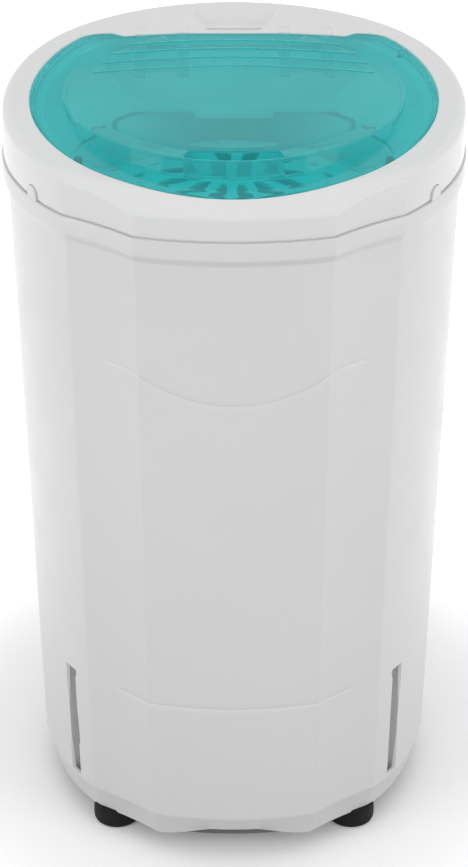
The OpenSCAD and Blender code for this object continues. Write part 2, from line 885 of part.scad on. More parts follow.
// ---------------------------------------------------------------- tub
seal_boss_r = bearing_r + 2;
seal_h = 11;
outlet_y = 118;
outlet_r = 11;
outlet_bore_r = 8.5;
outlet_l = 18;
isolator_angles = [10, 130, 250];
isolator_boss_h = 4;
mount_plate_t = 2;
mount_plate_z = tub_z - isolator_boss_h - isolator_h - mount_plate_t;
mount_bolt_r = 3;

module tub() color([0.9, 0.9, 0.9]) on_axis()
    difference() {
        union() {
            difference() {
                translate([0, 0, tub_z]) cylinder(h = gasket_z - tub_z, r = tub_r);
                translate([0, 0, tub_z + tub_t]) cylinder(h = gasket_z, r = tub_r - tub_t);
            }
            translate([0, 0, tub_flange_z]) tube(tub_flange_r, tub_r - tub_t, tub_t);
            translate([0, 0, tub_z]) cylinder(h = tub_t + seal_h, r = seal_boss_r + 2);
            translate([0, outlet_y, tub_z - outlet_l])
                cylinder(h = outlet_l + over, r = outlet_r);
            for (a = isolator_angles)
                rotate(a) translate([0, -isolator_ring_r, tub_z - isolator_boss_h])
                    cylinder(h = isolator_boss_h + over, r = isolator_r);
        }
        translate([0, 0, tub_z + tub_t]) cylinder(h = seal_h + over, r = seal_boss_r);
        translate([0, 0, tub_z - over]) cylinder(h = tub_t + 2 * over, r = shaft_r + 2);
        translate([0, outlet_y, tub_z - outlet_l - over])
            cylinder(h = outlet_l + tub_t + 2 * over, r = outlet_bore_r);
        for (a = isolator_angles)
            rotate(a) translate([0, -isolator_ring_r, tub_z - isolator_boss_h - over])
                cylinder(h = isolator_boss_h + over, r = mount_bolt_r + run_gap);
    }

module shaft_seal() color(black) on_axis()
    translate([0, 0, tub_z + tub_t]) tube(seal_boss_r, shaft_r + run_gap, seal_h - 1);

// ---------------------------------------------------------------- drain
hose_t = 3;
hose_r = outlet_r + run_gap + hose_t;
bend_r = 25;
spout_in_y = outlet_y + bend_r + 2;
spout_out_y = collar_r - 0.5;
flange_t = 5;
flange_r = spout_collar_r + 4;
flange_in = wall_r(spout_z - flange_r) - shell_t;
flange_y = sqrt(flange_in * flange_in - flange_r * flange_r) - seat_gap - flange_t;
collar_y = wall_r(spout_z + spout_collar_r) + 0.8;

module drain_hose() color([0.3, 0.3, 0.32]) on_axis() {
    hose_in = outlet_r + run_gap;
    top = tub_z - 1;
    translate([0, outlet_y, spout_z + bend_r]) tube(hose_r, hose_in, top - spout_z - bend_r);
    translate([0, outlet_y + bend_r, spout_z + bend_r]) rotate([0, 90, 0])
        rotate([0, 0, -90]) rotate_extrude(angle = 90)
            translate([bend_r, 0]) difference() {
                circle(r = hose_r);
                circle(r = hose_in);
            }
    translate([0, outlet_y + bend_r, spout_z]) rotate([-90, 0, 0]) difference() {
        cylinder(h = 12, r = hose_r);
        translate([0, 0, -over]) cylinder(h = 14, r = hose_in);
    }
}

module drain_spout() color([0.85, 0.85, 0.86]) on_axis()
    translate([0, 0, spout_z]) rotate([-90, 0, 0]) difference() {
        union() {
            translate([0, 0, spout_in_y]) cylinder(h = flange_y - spout_in_y + over, r = outlet_r);
            translate([0, 0, flange_y]) cylinder(h = flange_t, r = flange_r);
            translate([0, 0, flange_y]) cylinder(h = collar_y - flange_y, r = spout_collar_r);
            translate([0, 0, flange_y]) cylinder(h = spout_out_y - flange_y, r = spout_r);
        }
        translate([0, 0, spout_in_y - over])
            cylinder(h = spout_out_y, r = spout_bore_r);
    }

module hose_clip() color(steel) on_axis()
    for (z = [tub_z - 10])
        translate([0, outlet_y, z]) tube(hose_r + 1.2, hose_r + run_gap, 6);

// ---------------------------------------------------------------- basket
basket_z = tub_z + basket_lift;
balance_z = basket_top_z - balance_h;
plate_rim_z = plate_top_z - plate_curve + sqrt(plate_curve * plate_curve - plate_r * plate_r);
plate_low_z = plate_top_z - plate_curve + sqrt(pow(plate_curve - plate_t, 2) - plate_r * plate_r);
plate_seat_z = plate_low_z - seat_gap;
hub_r = 30;
hub_h = 24;
hub_drop = 8;

module basket() color([0.9, 0.9, 0.91]) on_axis()
    difference() {
        union() {
            difference() {
                rotate_extrude()
                    polygon([[0, basket_z], [basket_r - 8, basket_z],
                        [basket_r, basket_z + 8], [basket_r, balance_z], [0, balance_z]]);
                rotate_extrude()
                    polygon([[0, basket_z + basket_t], [basket_r - 8, basket_z + basket_t],
                        [basket_r - basket_t, basket_z + 8 + basket_t],
                        [basket_r - basket_t, balance_z + over], [0, balance_z + over]]);
            }
            translate([0, 0, basket_z]) cylinder(h = basket_t + 4, r = hub_r + 4);
        }
        translate([0, 0, basket_z - over]) cylinder(h = basket_t + 4 + 2 * over, r = hub_r / 2);
        pitch = (balance_z - basket_z - 50) / (hole_rows - 1);
        for (row = [0:hole_rows - 1], i = [0:hole_n - 1])
            rotate((i + (row % 2) / 2) * 360 / hole_n)
                translate([0, -basket_r - over, basket_z + 25 + row * pitch])
                    rotate([-90, 0, 0]) cylinder(h = basket_t + 3, r = hole_r);
    }

module balance_ring() color([0.86, 0.86, 0.87]) on_axis() {
    rotate_extrude()
        polygon([[balance_in_r, plate_seat_z + 3], [balance_in_r, basket_top_z - 2],
            [balance_in_r + 2, basket_top_z], [basket_r - 1, basket_top_z],
            [basket_r + 1, basket_top_z - 2], [basket_r + 1, balance_z],
            [basket_r - 4, balance_z], [basket_r - 6, balance_z - 3],
            [balance_in_r + 3, balance_z - 3], [balance_in_r + 3, plate_seat_z - 3],
            [plate_r - 4, plate_seat_z - 3], [plate_r - 4, plate_seat_z],
            [balance_in_r, plate_seat_z]]);
}

module basket_hub() color(steel) on_axis()
    difference() {
        union() {
            translate([0, 0, basket_z - 3]) cylinder(h = 3, r = hub_r);
            translate([0, 0, basket_z - hub_drop]) cylinder(h = hub_h, r = hub_r / 2);
            translate([0, 0, basket_z + basket_t + 4]) cylinder(h = 3, r = hub_r);
        }
        translate([0, 0, basket_z - hub_drop - over])
            cylinder(h = hub_h + 2 * over, r = shaft_r);
    }

hub_top_z = basket_z - hub_drop + hub_h;
module hub_nut() color(steel) on_axis()
    translate([0, 0, hub_top_z]) difference() {
        cylinder(h = 8, r = 12, $fn = 6);
        translate([0, 0, -over]) cylinder(h = 8 + 2 * over, r = shaft_r);
    }

// ---------------------------------------------------------------- inner plate
dot_outer_r = 108;
dot_inner_r = 76;
dot_outer_n = 20;
dot_inner_n = 16;
petal_in_r = 24;
petal_out_r = 62;

module petal() {
    mid = (petal_in_r + petal_out_r) / 2;
    half = (petal_out_r - petal_in_r) / 2;
    lens_r = 46;
    lens_w = 6;
    rotate(12) intersection() {
        translate([lens_r - lens_w, -mid]) circle(r = lens_r);
        translate([lens_w - lens_r, -mid]) circle(r = lens_r);
        translate([0, -mid]) circle(r = half);
    }
}

module inner_plate() color([0.88, 0.88, 0.89]) on_axis()
    difference() {
        intersection() {
            translate([0, 0, plate_top_z - plate_curve]) difference() {
                sphere(r = plate_curve, $fn = 160);
                sphere(r = plate_curve - plate_t, $fn = 160);
            }
            translate([0, 0, plate_rim_z - plate_t - 1]) cylinder(h = 60, r = plate_r);
        }
        for (i = [0:petal_n - 1])
            rotate(i * 360 / petal_n)
                translate([0, 0, plate_rim_z - 20]) linear_extrude(60) petal();
        for (i = [0:dot_inner_n - 1])
            rotate((i + 0.5) * 360 / dot_inner_n)
                translate([0, -dot_inner_r, plate_rim_z - 20]) cylinder(h = 60, r = 4.5);
        for (i = [0:dot_outer_n - 1])
            rotate((i + 0.5) * 360 / dot_outer_n)
                translate([0, -dot_outer_r, plate_rim_z - 20]) cylinder(h = 60, r = 4.5);
        translate([0, 0, plate_rim_z - 20]) cylinder(h = 60, r = 4);
    }

// ---------------------------------------------------------------- drive
stator_top = mount_plate_z - cover_h;
stator_z = stator_top - stator_h;
motor_low = stator_z - cover_h;
drum_z = mount_plate_z + mount_plate_t + 3;
motor_bolt_ring_r = motor_r - 5;
motor_bolt_r = 2;

module drive_shaft() color(steel) on_axis()
    translate([0, 0, motor_low - 14]) cylinder(h = hub_top_z + 12 - motor_low + 14, r = shaft_r);

module brake_drum() color([0.45, 0.45, 0.47]) on_axis()
    translate([0, 0, drum_z]) difference() {
        union() {
            tube(drum_r, drum_r - 6, drum_h);
            cylinder(h = 4, r = drum_r - 5);
            cylinder(h = drum_h - 1, r = shaft_r + 6);
        }
        translate([0, 0, -over]) cylinder(h = drum_h + 2 * over, r = shaft_r);
    }

module rotor() color([0.5, 0.5, 0.53]) on_axis()
    translate([0, 0, stator_z + 2]) tube(rotor_r, shaft_r, stator_h - 4);

fan_h = 10;
module motor_fan() color(black) on_axis()
    translate([0, 0, motor_low - fan_h - 2]) {
        tube(shaft_r + 5, shaft_r, fan_h);
        translate([0, 0, fan_h - 2]) tube(motor_r - 10, shaft_r + 4, 2);
        for (i = [0:7])
            rotate(i * 45) translate([shaft_r + 4, -1, 0])
                cube([motor_r - 16 - shaft_r, 2, fan_h - 1]);
    }

brake_pivot_pos = [drum_r + 13, -42];
brake_pivot_r = 4;

module motor_plate() color(steel) on_axis()
    translate([0, 0, mount_plate_z]) difference() {
        cylinder(h = mount_plate_t, r = plate_mount_r);
        translate([0, 0, -over]) cylinder(h = mount_plate_t + 2 * over, r = bearing_r + 4);
        for (a = isolator_angles)
            rotate(a) translate([0, -isolator_ring_r, -over])
                cylinder(h = mount_plate_t + 2 * over, r = mount_bolt_r + run_gap);
        for (i = [0:3])
            rotate(45 + i * 90) translate([motor_bolt_ring_r, 0, -over])
                cylinder(h = mount_plate_t + 2 * over, r = motor_bolt_r + run_gap);
        translate([brake_pivot_pos[0], brake_pivot_pos[1], -over])
            cylinder(h = mount_plate_t + 2 * over, r = brake_pivot_r - 1);
    }

module isolator(i) color(black) on_axis()
    rotate(isolator_angles[i])
        translate([0, -isolator_ring_r, mount_plate_z + mount_plate_t]) difference() {
            rotate_extrude()
                polygon([[0, 0], [isolator_r, 0], [isolator_r, 3], [isolator_r - 2.5, 5],
                    [isolator_r - 2.5, isolator_h - 5], [isolator_r, isolator_h - 3],
                    [isolator_r, isolator_h], [0, isolator_h]]);
            translate([0, 0, -over]) cylinder(h = isolator_h + 2 * over,
                r = mount_bolt_r + run_gap);
        }
module isolator_1() isolator(0);
module isolator_2() isolator(1);
module isolator_3() isolator(2);

module mount_bolts() color(steel) on_axis()
    for (a = isolator_angles)
        rotate(a) translate([0, -isolator_ring_r, mount_plate_z]) {
            translate([0, 0, -4]) cylinder(h = 4, r = 6, $fn = 6);
            translate([0, 0, -over])
                cylinder(h = mount_plate_t + isolator_h + isolator_boss_h, r = mount_bolt_r);
        }

module motor_cover(up) {
    // closed end towards +Z, open end on the stator
    difference() {
        cylinder(h = cover_h, r = motor_r);
        translate([0, 0, -over]) cylinder(h = cover_h - 11, r = motor_r - 8);
        translate([0, 0, -over]) cylinder(h = cover_h + 2 * over, r = shaft_r + 2);
        translate([0, 0, cover_h - 12]) cylinder(h = 10, r = bearing_r);
        for (i = [0:3])
            rotate(45 + i * 90) translate([motor_bolt_ring_r, 0, -over])
                cylinder(h = cover_h + 2 * over, r = motor_bolt_r + run_gap);
        // air windows round the side
        for (i = [0:5])
            rotate(i * 60) translate([motor_r - 12, -9, -over])
                cube([20, 18, cover_h - 12]);
    }
}

module motor_upper_cover() color([0.6, 0.61, 0.63]) on_axis()
    translate([0, 0, stator_top]) motor_cover(true);

module motor_lower_cover() color([0.6, 0.61, 0.63]) on_axis()
    translate([0, 0, stator_z]) mirror([0, 0, 1]) motor_cover(false);

module stator() color([0.4, 0.4, 0.42]) on_axis()
    translate([0, 0, stator_z]) difference() {
        tube(motor_r, rotor_r + air_gap, stator_h);
        for (i = [0:3])
            rotate(45 + i * 90) translate([motor_bolt_ring_r, 0, -over])
                cylinder(h = stator_h + 2 * over, r = motor_bolt_r + run_gap);
    }

winding_h = 8;
module winding(z) color([0.72, 0.42, 0.2]) on_axis()
    translate([0, 0, z]) rotate_extrude()
        polygon([[rotor_r + 5, 0], [motor_r - 10, 0], [motor_r - 10, winding_h - 3],
            [motor_r - 13, winding_h], [rotor_r + 8, winding_h], [rotor_r + 5, winding_h - 3]]);
module winding_upper() winding(stator_top);
module winding_lower() winding(stator_z - winding_h);

module bearing(z) color(steel) on_axis()
    translate([0, 0, z]) tube(bearing_r, shaft_r + run_gap, 10);
module bearing_upper() bearing(stator_top + cover_h - 12);
module bearing_lower() bearing(motor_low + 2);

module motor_bolts() color(steel) on_axis()
    for (i = [0:3])
        rotate(45 + i * 90) translate([motor_bolt_ring_r, 0, 0]) {
            translate([0, 0, motor_low - 1])
                cylinder(h = mount_plate_z + mount_plate_t - motor_low + 1, r = motor_bolt_r);
            translate([0, 0, motor_low - 3]) cylinder(h = 3, r = 4);
        }

// ---------------------------------------------------------------- brake
brake_z = drum_z + 2;
brake_h = 8;
arm_in_x = drum_r + brake_gap + 5;

module brake_arm() color(steel) on_axis()
    translate([0, 0, brake_z]) difference() {
        union() {
            translate([brake_pivot_pos[0], brake_pivot_pos[1], 0])
                cylinder(h = brake_h, r = brake_pivot_r + 4);
            translate([arm_in_x, brake_pivot_pos[1], 0]) cube([6, 80, brake_h]);
        }
        translate([brake_pivot_pos[0], brake_pivot_pos[1], -over])
            cylinder(h = brake_h + 2 * over, r = brake_pivot_r + run_gap);
    }

module brake_lining() color([0.3, 0.22, 0.18]) on_axis()
    translate([0, 0, brake_z]) difference() {
        translate([arm_in_x - 7, -12, 0]) cube([7, 24, brake_h]);
        translate([0, 0, -over]) cylinder(h = brake_h + 2 * over, r = drum_r + brake_gap);
    }

module brake_pivot() color(steel) on_axis()
    translate([brake_pivot_pos[0], brake_pivot_pos[1], 0]) {
        translate([0, 0, mount_plate_z]) cylinder(h = mount_plate_t, r = brake_pivot_r - 1);
        translate([0, 0, mount_plate_z + mount_plate_t])
            cylinder(h = tub_z - 0.5 - mount_plate_z - mount_plate_t, r = brake_pivot_r);
    }

// A swept tube: the ring of sides round each point of a route
function unit(v) = v / norm(v);
function route_dir(p, i) = unit(p[min(i + 1, len(p) - 1)] - p[max(i - 1, 0)]);
module sweep(p, r, sides, up = [0, 0, 1]) {
    n = len(p);
    pts = [for (i = [0:n - 1])
        let (d = route_dir(p, i), a = unit(cross(abs(d * up) > 0.9 ? [1, 0, 0] : up, d)),
            b = cross(d, a))
        for (k = [0:sides - 1])
            p[i] + r * (cos(360 * k / sides) * a + sin(360 * k / sides) * b)];
    faces = concat([[for (k = [0:sides - 1]) k]],
        [[for (k = [sides - 1:-1:0]) (n - 1) * sides + k]],
        [for (i = [0:n - 2], k = [0:sides - 1])
            [i * sides + k, (i + 1) * sides + k, (i + 1) * sides + (k + 1) % sides,
                i * sides + (k + 1) % sides]]);
    polyhedron(points = pts, faces = faces, convexity = 6);
}

spring_turns = 2;
spring_wire_r = 0.6;
spring_pitch = 1.4;
spring_r = brake_pivot_r + 0.3 + spring_wire_r;
module brake_spring() color(steel) on_axis()
    translate([brake_pivot_pos[0], brake_pivot_pos[1], brake_z + brake_h + seat_gap
        + spring_wire_r])
        sweep([for (a = [0:20:360 * spring_turns])
            [spring_r * cos(a), spring_r * sin(a), spring_pitch * a / 360]],
            spring_wire_r, 6, [1, 0, 0.2]);

// Brake cable, from the arm's end out under the tub, up between the tub and
// the cabinet, and in to the hinge
function polar(r, a, z) = [r * sin(a), -r * cos(a), z];
cable_low_z = brake_z + brake_h / 2;
cable_end_r = opening_r + rim_t + cable_r + seat_gap;
cable_route = [
    [arm_in_x + 8, 30, cable_low_z], [arm_in_x + 20, 30, cable_low_z],
    [98, 34, cable_low_z], [118, 46, cable_low_z],
    polar(148, cable_angle - 1, cable_low_z), polar(157, cable_angle, cable_low_z + 1),
    polar(cable_low_r, cable_angle, cable_low_z + 9), polar(cable_low_r, cable_angle, 226),
    polar(cable_low_r, cable_angle, 260), polar(cable_low_r, cable_angle, 330),
    polar(162, cable_angle, 400), polar(163.5, cable_angle, 460),
    polar(165.5, cable_angle, 510), polar(cable_up_r, cable_angle, 535),
    polar(cable_up_r, cable_angle, 565), polar(cable_up_r, cable_angle, 590),
    polar(cable_end_r + 2, cable_angle, 600), polar(cable_end_r, cable_angle + 1, 607),
    polar(cable_end_r, cable_angle + 2, 612)];
module brake_cable() color(black) on_axis() sweep(cable_route, cable_r, 8, [0.3, 0.2, 1]);

// ---------------------------------------------------------------- electrics
capacitor_h = 58;
module capacitor_at() translate([-96, 20, tray_z + tray_t]) children();
module capacitor() color([0.82, 0.82, 0.84]) on_axis()
    capacitor_at() {
        cylinder(h = capacitor_h, r = capacitor_r);
        for (s = [-1, 1])
            translate([s * 7 - 3, -0.5, capacitor_h - over]) cube([6, 1, 9]);
    }
module capacitor_clip() color(steel) on_axis()
    capacitor_at() translate([0, 0, 24]) tube(capacitor_r + 1.5, capacitor_r + run_gap, 12);

module terminal_block() color([0.9, 0.9, 0.86]) on_axis()
    translate([28, 96, tray_z + tray_t]) difference() {
        cube([44, 18, 16]);
        for (i = [0:3])
            translate([5.5 + i * 11, 9, 8]) cylinder(h = 10, r = 3);
    }

module cord_gland() color(black) on_axis()
    rotate(gland_angle) translate([0, 0, gland_z]) rotate([90, 0, 0]) {
        wall_out = wall_r(gland_z);
        translate([0, 0, wall_out - shell_t - 3.5]) difference() {
            union() {
                cylinder(h = shell_t + 6, r = gland_r);
                cylinder(h = 2.5, r = gland_r + 3);
                translate([0, 0, shell_t + 4]) cylinder(h = 2.5, r = gland_r + 3);
            }
            translate([0, 0, -over]) cylinder(h = shell_t + 10, r = 4);
        }
    }

cabinet();
top_ring();
base_tray();
foot_front_left();
foot_front_right();
foot_rear_left();
foot_rear_right();
foot_screws();
ring_screws();
lid();
hinge_arm_left();
hinge_arm_right();
hinge_pin_left();
hinge_pin_right();
lid_striker();
lid_buffers();
lid_switch();
switch_plunger();
splash_guard();
guard_screws();
tub();
tub_gasket();
shaft_seal();
drain_hose();
drain_spout();
hose_clip();
basket();
balance_ring();
basket_hub();
hub_nut();
inner_plate();
drive_shaft();
brake_drum();
rotor();
motor_fan();
motor_plate();
isolator_1();
isolator_2();
isolator_3();
mount_bolts();
motor_upper_cover();
motor_lower_cover();
stator();
winding_upper();
winding_lower();
bearing_upper();
bearing_lower();
motor_bolts();
brake_arm();
brake_lining();
brake_pivot();
brake_spring();
brake_cable();
capacitor();
capacitor_clip();
terminal_block();
cord_gland();
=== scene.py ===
# %% [markdown]
# # A laundry spin dryer
# A round white cabinet stands on four rubber feet. A ring sits on it, and a
# translucent teal lid closes the ring's opening. Through the lid one sees the
# splash guard, the basket's rim and a domed plate full of holes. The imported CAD
# model is the frame: its nodes give every place and every joint. The pieces that
# the eye reads first are modelled again here with round edges, and the hidden
# machinery keeps its CAD shape and gets a finish.

# %% Load the frame
import json
import math
import bpy
import bmesh
from mathutils import Matrix, Vector


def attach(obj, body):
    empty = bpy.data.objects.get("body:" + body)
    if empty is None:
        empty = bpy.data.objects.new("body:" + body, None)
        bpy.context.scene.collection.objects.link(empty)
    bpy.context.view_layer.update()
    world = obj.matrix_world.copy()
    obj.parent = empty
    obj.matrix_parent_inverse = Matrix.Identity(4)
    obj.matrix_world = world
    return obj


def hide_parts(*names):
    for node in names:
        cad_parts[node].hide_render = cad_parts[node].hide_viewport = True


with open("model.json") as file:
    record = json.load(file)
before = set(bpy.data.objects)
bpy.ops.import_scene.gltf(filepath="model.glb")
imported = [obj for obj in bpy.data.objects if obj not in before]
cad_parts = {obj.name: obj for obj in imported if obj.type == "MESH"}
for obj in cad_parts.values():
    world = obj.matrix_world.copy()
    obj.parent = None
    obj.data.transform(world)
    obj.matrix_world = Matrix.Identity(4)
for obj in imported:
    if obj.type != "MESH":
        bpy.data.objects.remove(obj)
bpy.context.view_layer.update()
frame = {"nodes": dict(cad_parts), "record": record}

MM = 0.001
AXIS_Y = -3.25

# %% [markdown]
# ## The camera
# The photograph looks down on the dryer by about 31 degrees, from the front and
# from quite far away, so the sides hardly converge. A long lens from 2.2 m does
# the same. The render is upright, so the sensor's 36 mm lie along the height.

# %% Camera
camera_data = bpy.data.cameras.new("camera")
camera_data.lens = 103.77
camera_data.sensor_fit = "AUTO"
camera = bpy.data.objects.new("camera", camera_data)
camera.location = (0.0, -1.78325, 1.3928)
camera.rotation_euler = (math.radians(58.98), 0.0, 0.0)
bpy.context.scene.collection.objects.link(camera)
bpy.context.scene.camera = camera
bpy.context.scene.view_settings.view_transform = "Standard"
print("camera looks down by", round(90 - 58.98, 2), "degrees")

# %% [markdown]
# ## The outline
# Seen from above, the cabinet is a circle with a flatter front and one hollow
# panel on each side of it. The three curves meet in soft creases. A small
# function gives the distance of the outline from the drum axis in any direction,
# so that every ring of the body can share the same creases. Angles are counted
# from the front, in degrees. A smooth minimum rounds each crease as moulding does.

# %% The outline's radius in a direction
FRONT_FLAT, FRONT_AXIS = 6.5, 118.0
SIDE_DISH, SIDE_AXIS, SIDE_ANGLE = 4.8, 446.0, 34.4


def soft_min(a, b, k):
    h = max(0.0, k - abs(a - b)) / k
    return min(a, b) - h * h * k / 4


def soft_max(a, b, k):
    return -soft_min(-a, -b, k)


def ramp(x, low, high):
    t = min(1.0, max(0.0, (x - low) / (high - low)))
    return t * t * (3 - 2 * t)


def outline(r, angle, k=0.3):
    t = math.radians(angle)
    big = FRONT_AXIS + r - FRONT_FLAT
    reach = big * big - (FRONT_AXIS * math.sin(t)) ** 2
    front = math.sqrt(max(reach, 0)) - FRONT_AXIS * math.cos(t)
    best = soft_min(r, front, k)
    hollow = SIDE_AXIS + SIDE_DISH - r
    d = math.radians(abs(angle) - SIDE_ANGLE)
    reach = hollow * hollow - (SIDE_AXIS * math.sin(d)) ** 2
    if abs(d) < math.radians(30) and reach > 0:
        side = SIDE_AXIS * math.cos(d) - math.sqrt(reach)
        best = soft_min(best, side, k)
    return best


print("outline at 0, 24, 34, 45, 90:", [round(outline(180, a), 2) for a in (0, 24, 34, 45, 90)])

# %% [markdown]
# ## The top surface
# The ring's top and the lid's rim lie on one surface: a plane that falls to the
# front by 4.4 degrees, a level deck at the back, and a cone that falls away
# steeper near the front edge. The smooth minimum of the three heights gives soft
# transitions, and both pieces follow it, so the lid lies flush in the ring.

# %% Height of the top surface
OVERALL_H, PLANE_Z, PLANE_SLOPE = 635.0, 627.5, 0.077


def top_height(x, y):
    plane = PLANE_Z + PLANE_SLOPE * y
    cone = 603.0 + 0.7 * (290.0 - math.hypot(x, y - FRONT_AXIS))
    return soft_min(soft_min(plane, OVERALL_H, 2.5), cone, 4.0)


def top_at(radius, angle):
    t = math.radians(angle)
    return top_height(radius * math.sin(t), -radius * math.cos(t))


print("top at front, middle, back:", [round(top_height(0, y), 1) for y in (-160, 0, 150)])

# %% [markdown]
# ## Building with rings
# Each big piece is a stack of closed rings. The first ring is bmesh's circle, and
# each further one is extruded from the ring before it. Every point keeps its
# number in a layer, so its direction from the drum axis is known, and it is then
# moved to its radius and height. 720 points make creases and highlights smooth.
# Extruding gives quads in the right order, which bridging by distance may not.

# %% Helpers for ringed shells
COUNT = 720
EVEN = [-180 + 360 * i / COUNT for i in range(COUNT)]


def place(radius, angle, z):
    t = math.radians(angle)
    return Vector((radius * math.sin(t), AXIS_Y - radius * math.cos(t), z)) * MM


def set_ring(verts, step, angles, row):
    for v in verts:
        angle = angles[v[step]]
        radius, z = row(angle)
        v.co = place(radius, angle, z)


def ringed(rows, angles=EVEN, closed=True, caps=False):
    bm = bmesh.new()
    step = bm.verts.layers.int.new("step")
    first = bmesh.ops.create_circle(bm, segments=len(angles), radius=1.0)["verts"]
    for i, v in enumerate(first):
        v[step] = i
    edges = list(bm.edges)
    start = list(edges)
    set_ring(first, step, angles, rows[0])
    if caps:
        bmesh.ops.contextual_create(bm, geom=start)
    for row in list(rows[1:]) + ([rows[0]] if closed else []):
        made = bmesh.ops.extrude_edge_only(bm, edges=edges)["geom"]
        verts = [g for g in made if isinstance(g, bmesh.types.BMVert)]
        edges = [g for g in made if isinstance(g, bmesh.types.BMEdge)]
        set_ring(verts, step, angles, row)
    if caps:
        bmesh.ops.contextual_create(bm, geom=edges)
    if closed:
        bmesh.ops.remove_doubles(bm, verts=bm.verts, dist=1e-7)
    return bm


def new_piece(name, bm, turn=True, sharp=40):
    if turn:
        bmesh.ops.recalc_face_normals(bm, faces=bm.faces)
    mesh = bpy.data.meshes.new(name)
    bm.to_mesh(mesh)
    bm.free()
    obj = bpy.data.objects.new(name, mesh)
    bpy.context.scene.collection.objects.link(obj)
    mesh.shade_smooth()
    mesh.set_sharp_from_angle(angle=math.radians(sharp))
    return obj


def dressed(obj, body, material, slot, *nodes):
    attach(obj, body)
    if nodes:
        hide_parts(*nodes)
    if not obj.data.materials:
        obj.data.materials.append(material)
    print(obj.name, len(obj.data.polygons), "faces")
    return obj


def steady(radius, z):
    return lambda angle: (radius, z)


# %% [markdown]
# ## Effects that many finishes share
# Moulded plastic isn't one flat tone. It has a very fine texture from the mould,
# slow changes of tone where it cooled, and a few hair scratches. A node group
# holds each effect, with named inputs, and gives out only masks and a normal. The
# shader itself stays in each material.

# %% Node groups
def new_group(name, inputs, outputs):
    group = bpy.data.node_groups.new(name, "ShaderNodeTree")
    for label, kind, value in inputs:
        socket = group.interface.new_socket(name=label, in_out="INPUT", socket_type=kind)
        socket.default_value = value
    for label, kind in outputs:
        group.interface.new_socket(name=label, in_out="OUTPUT", socket_type=kind)
    return group, group.nodes.new("NodeGroupInput"), group.nodes.new("NodeGroupOutput")


def math_node(nodes, operation, a=None, b=None, clamp=False):
    node = nodes.new("ShaderNodeMath")
    node.operation = operation
    node.use_clamp = clamp
    if a is not None:
        node.inputs[0].default_value = a
    if b is not None:
        node.inputs[1].default_value = b
    return node


def moulded_group():
    group, given, out = new_group(
        "moulded surface",
        [("Grain Scale", "NodeSocketFloat", 900.0), ("Grain Depth", "NodeSocketFloat", 0.02),
         ("Tone Scale", "NodeSocketFloat", 5.0)],
        [("Tone", "NodeSocketFloat"), ("Wear", "NodeSocketFloat"), ("Normal", "NodeSocketVector")])
    nodes, links = group.nodes, group.links
    where = nodes.new("ShaderNodeTexCoord")
    grain = nodes.new("ShaderNodeTexNoise")
    grain.inputs["Detail"].default_value = 2.0
    tone = nodes.new("ShaderNodeTexNoise")
    tone.inputs["Detail"].default_value = 3.0
    wear = nodes.new("ShaderNodeTexNoise")
    wear.inputs["Scale"].default_value = 38.0
    wear.inputs["Detail"].default_value = 6.0
    wear.inputs["Roughness"].default_value = 0.65
    spread = nodes.new("ShaderNodeMapRange")
    spread.inputs["From Min"].default_value = 0.42
    spread.inputs["From Max"].default_value = 0.72
    bump = nodes.new("ShaderNodeBump")
    bump.inputs["Distance"].default_value = 0.0002
    for texture in (grain, tone, wear):
        links.new(where.outputs["Object"], texture.inputs["Vector"])
    links.new(given.outputs["Grain Scale"], grain.inputs["Scale"])
    links.new(given.outputs["Tone Scale"], tone.inputs["Scale"])
    links.new(given.outputs["Grain Depth"], bump.inputs["Strength"])
    links.new(grain.outputs["Fac"], bump.inputs["Height"])
    links.new(wear.outputs["Fac"], spread.inputs["Value"])
    links.new(tone.outputs["Fac"], out.inputs["Tone"])
    links.new(spread.outputs["Result"], out.inputs["Wear"])
    links.new(bump.outputs["Normal"], out.inputs["Normal"])
    return group


MOULDED = moulded_group()


def turned_group():
    group, given, out = new_group(
        "turned metal",
        [("Lines", "NodeSocketFloat", 1400.0), ("Depth", "NodeSocketFloat", 0.15)],
        [("Streak", "NodeSocketFloat"), ("Blotch", "NodeSocketFloat"),
         ("Normal", "NodeSocketVector")])
    nodes, links = group.nodes, group.links
    where = nodes.new("ShaderNodeTexCoord")
    apart = nodes.new("ShaderNodeSeparateXYZ")
    squash = nodes.new("ShaderNodeCombineXYZ")
    fine = nodes.new("ShaderNodeTexNoise")
    fine.inputs["Detail"].default_value = 3.0
    blotch = nodes.new("ShaderNodeTexNoise")
    blotch.inputs["Scale"].default_value = 45.0
    blotch.inputs["Detail"].default_value = 4.0
    few = math_node(nodes, "MULTIPLY", b=0.02)
    bump = nodes.new("ShaderNodeBump")
    bump.inputs["Distance"].default_value = 0.0001
    links.new(where.outputs["Object"], apart.inputs["Vector"])
    links.new(apart.outputs["X"], few.inputs[0])
    links.new(few.outputs["Value"], squash.inputs["X"])
    links.new(apart.outputs["Y"], squash.inputs["Y"])
    links.new(apart.outputs["Z"], squash.inputs["Z"])
    links.new(squash.outputs["Vector"], fine.inputs["Vector"])
    links.new(given.outputs["Lines"], fine.inputs["Scale"])
    links.new(where.outputs["Object"], blotch.inputs["Vector"])
    links.new(given.outputs["Depth"], bump.inputs["Strength"])
    links.new(fine.outputs["Fac"], bump.inputs["Height"])
    links.new(fine.outputs["Fac"], out.inputs["Streak"])
    links.new(blotch.outputs["Fac"], out.inputs["Blotch"])
    links.new(bump.outputs["Normal"], out.inputs["Normal"])
    return group


TURNED = turned_group()
print("node groups:", MOULDED.name, "and", TURNED.name)

# %% [markdown]
# ## The finishes
# `moulded` makes a plastic or rubber: two close tones mixed by the slow noise, a
# roughness that changes with the wear mask, and the grain's normal. `metal` does
# the same for steel, castings and copper. Values that are the same all over a
# piece are set on the shader's own sockets.

# %% Makers for plastic and metal
def blank(name):
    material = bpy.data.materials.new(name)
    material.use_nodes = True
    return material, material.node_tree.nodes, material.node_tree.links


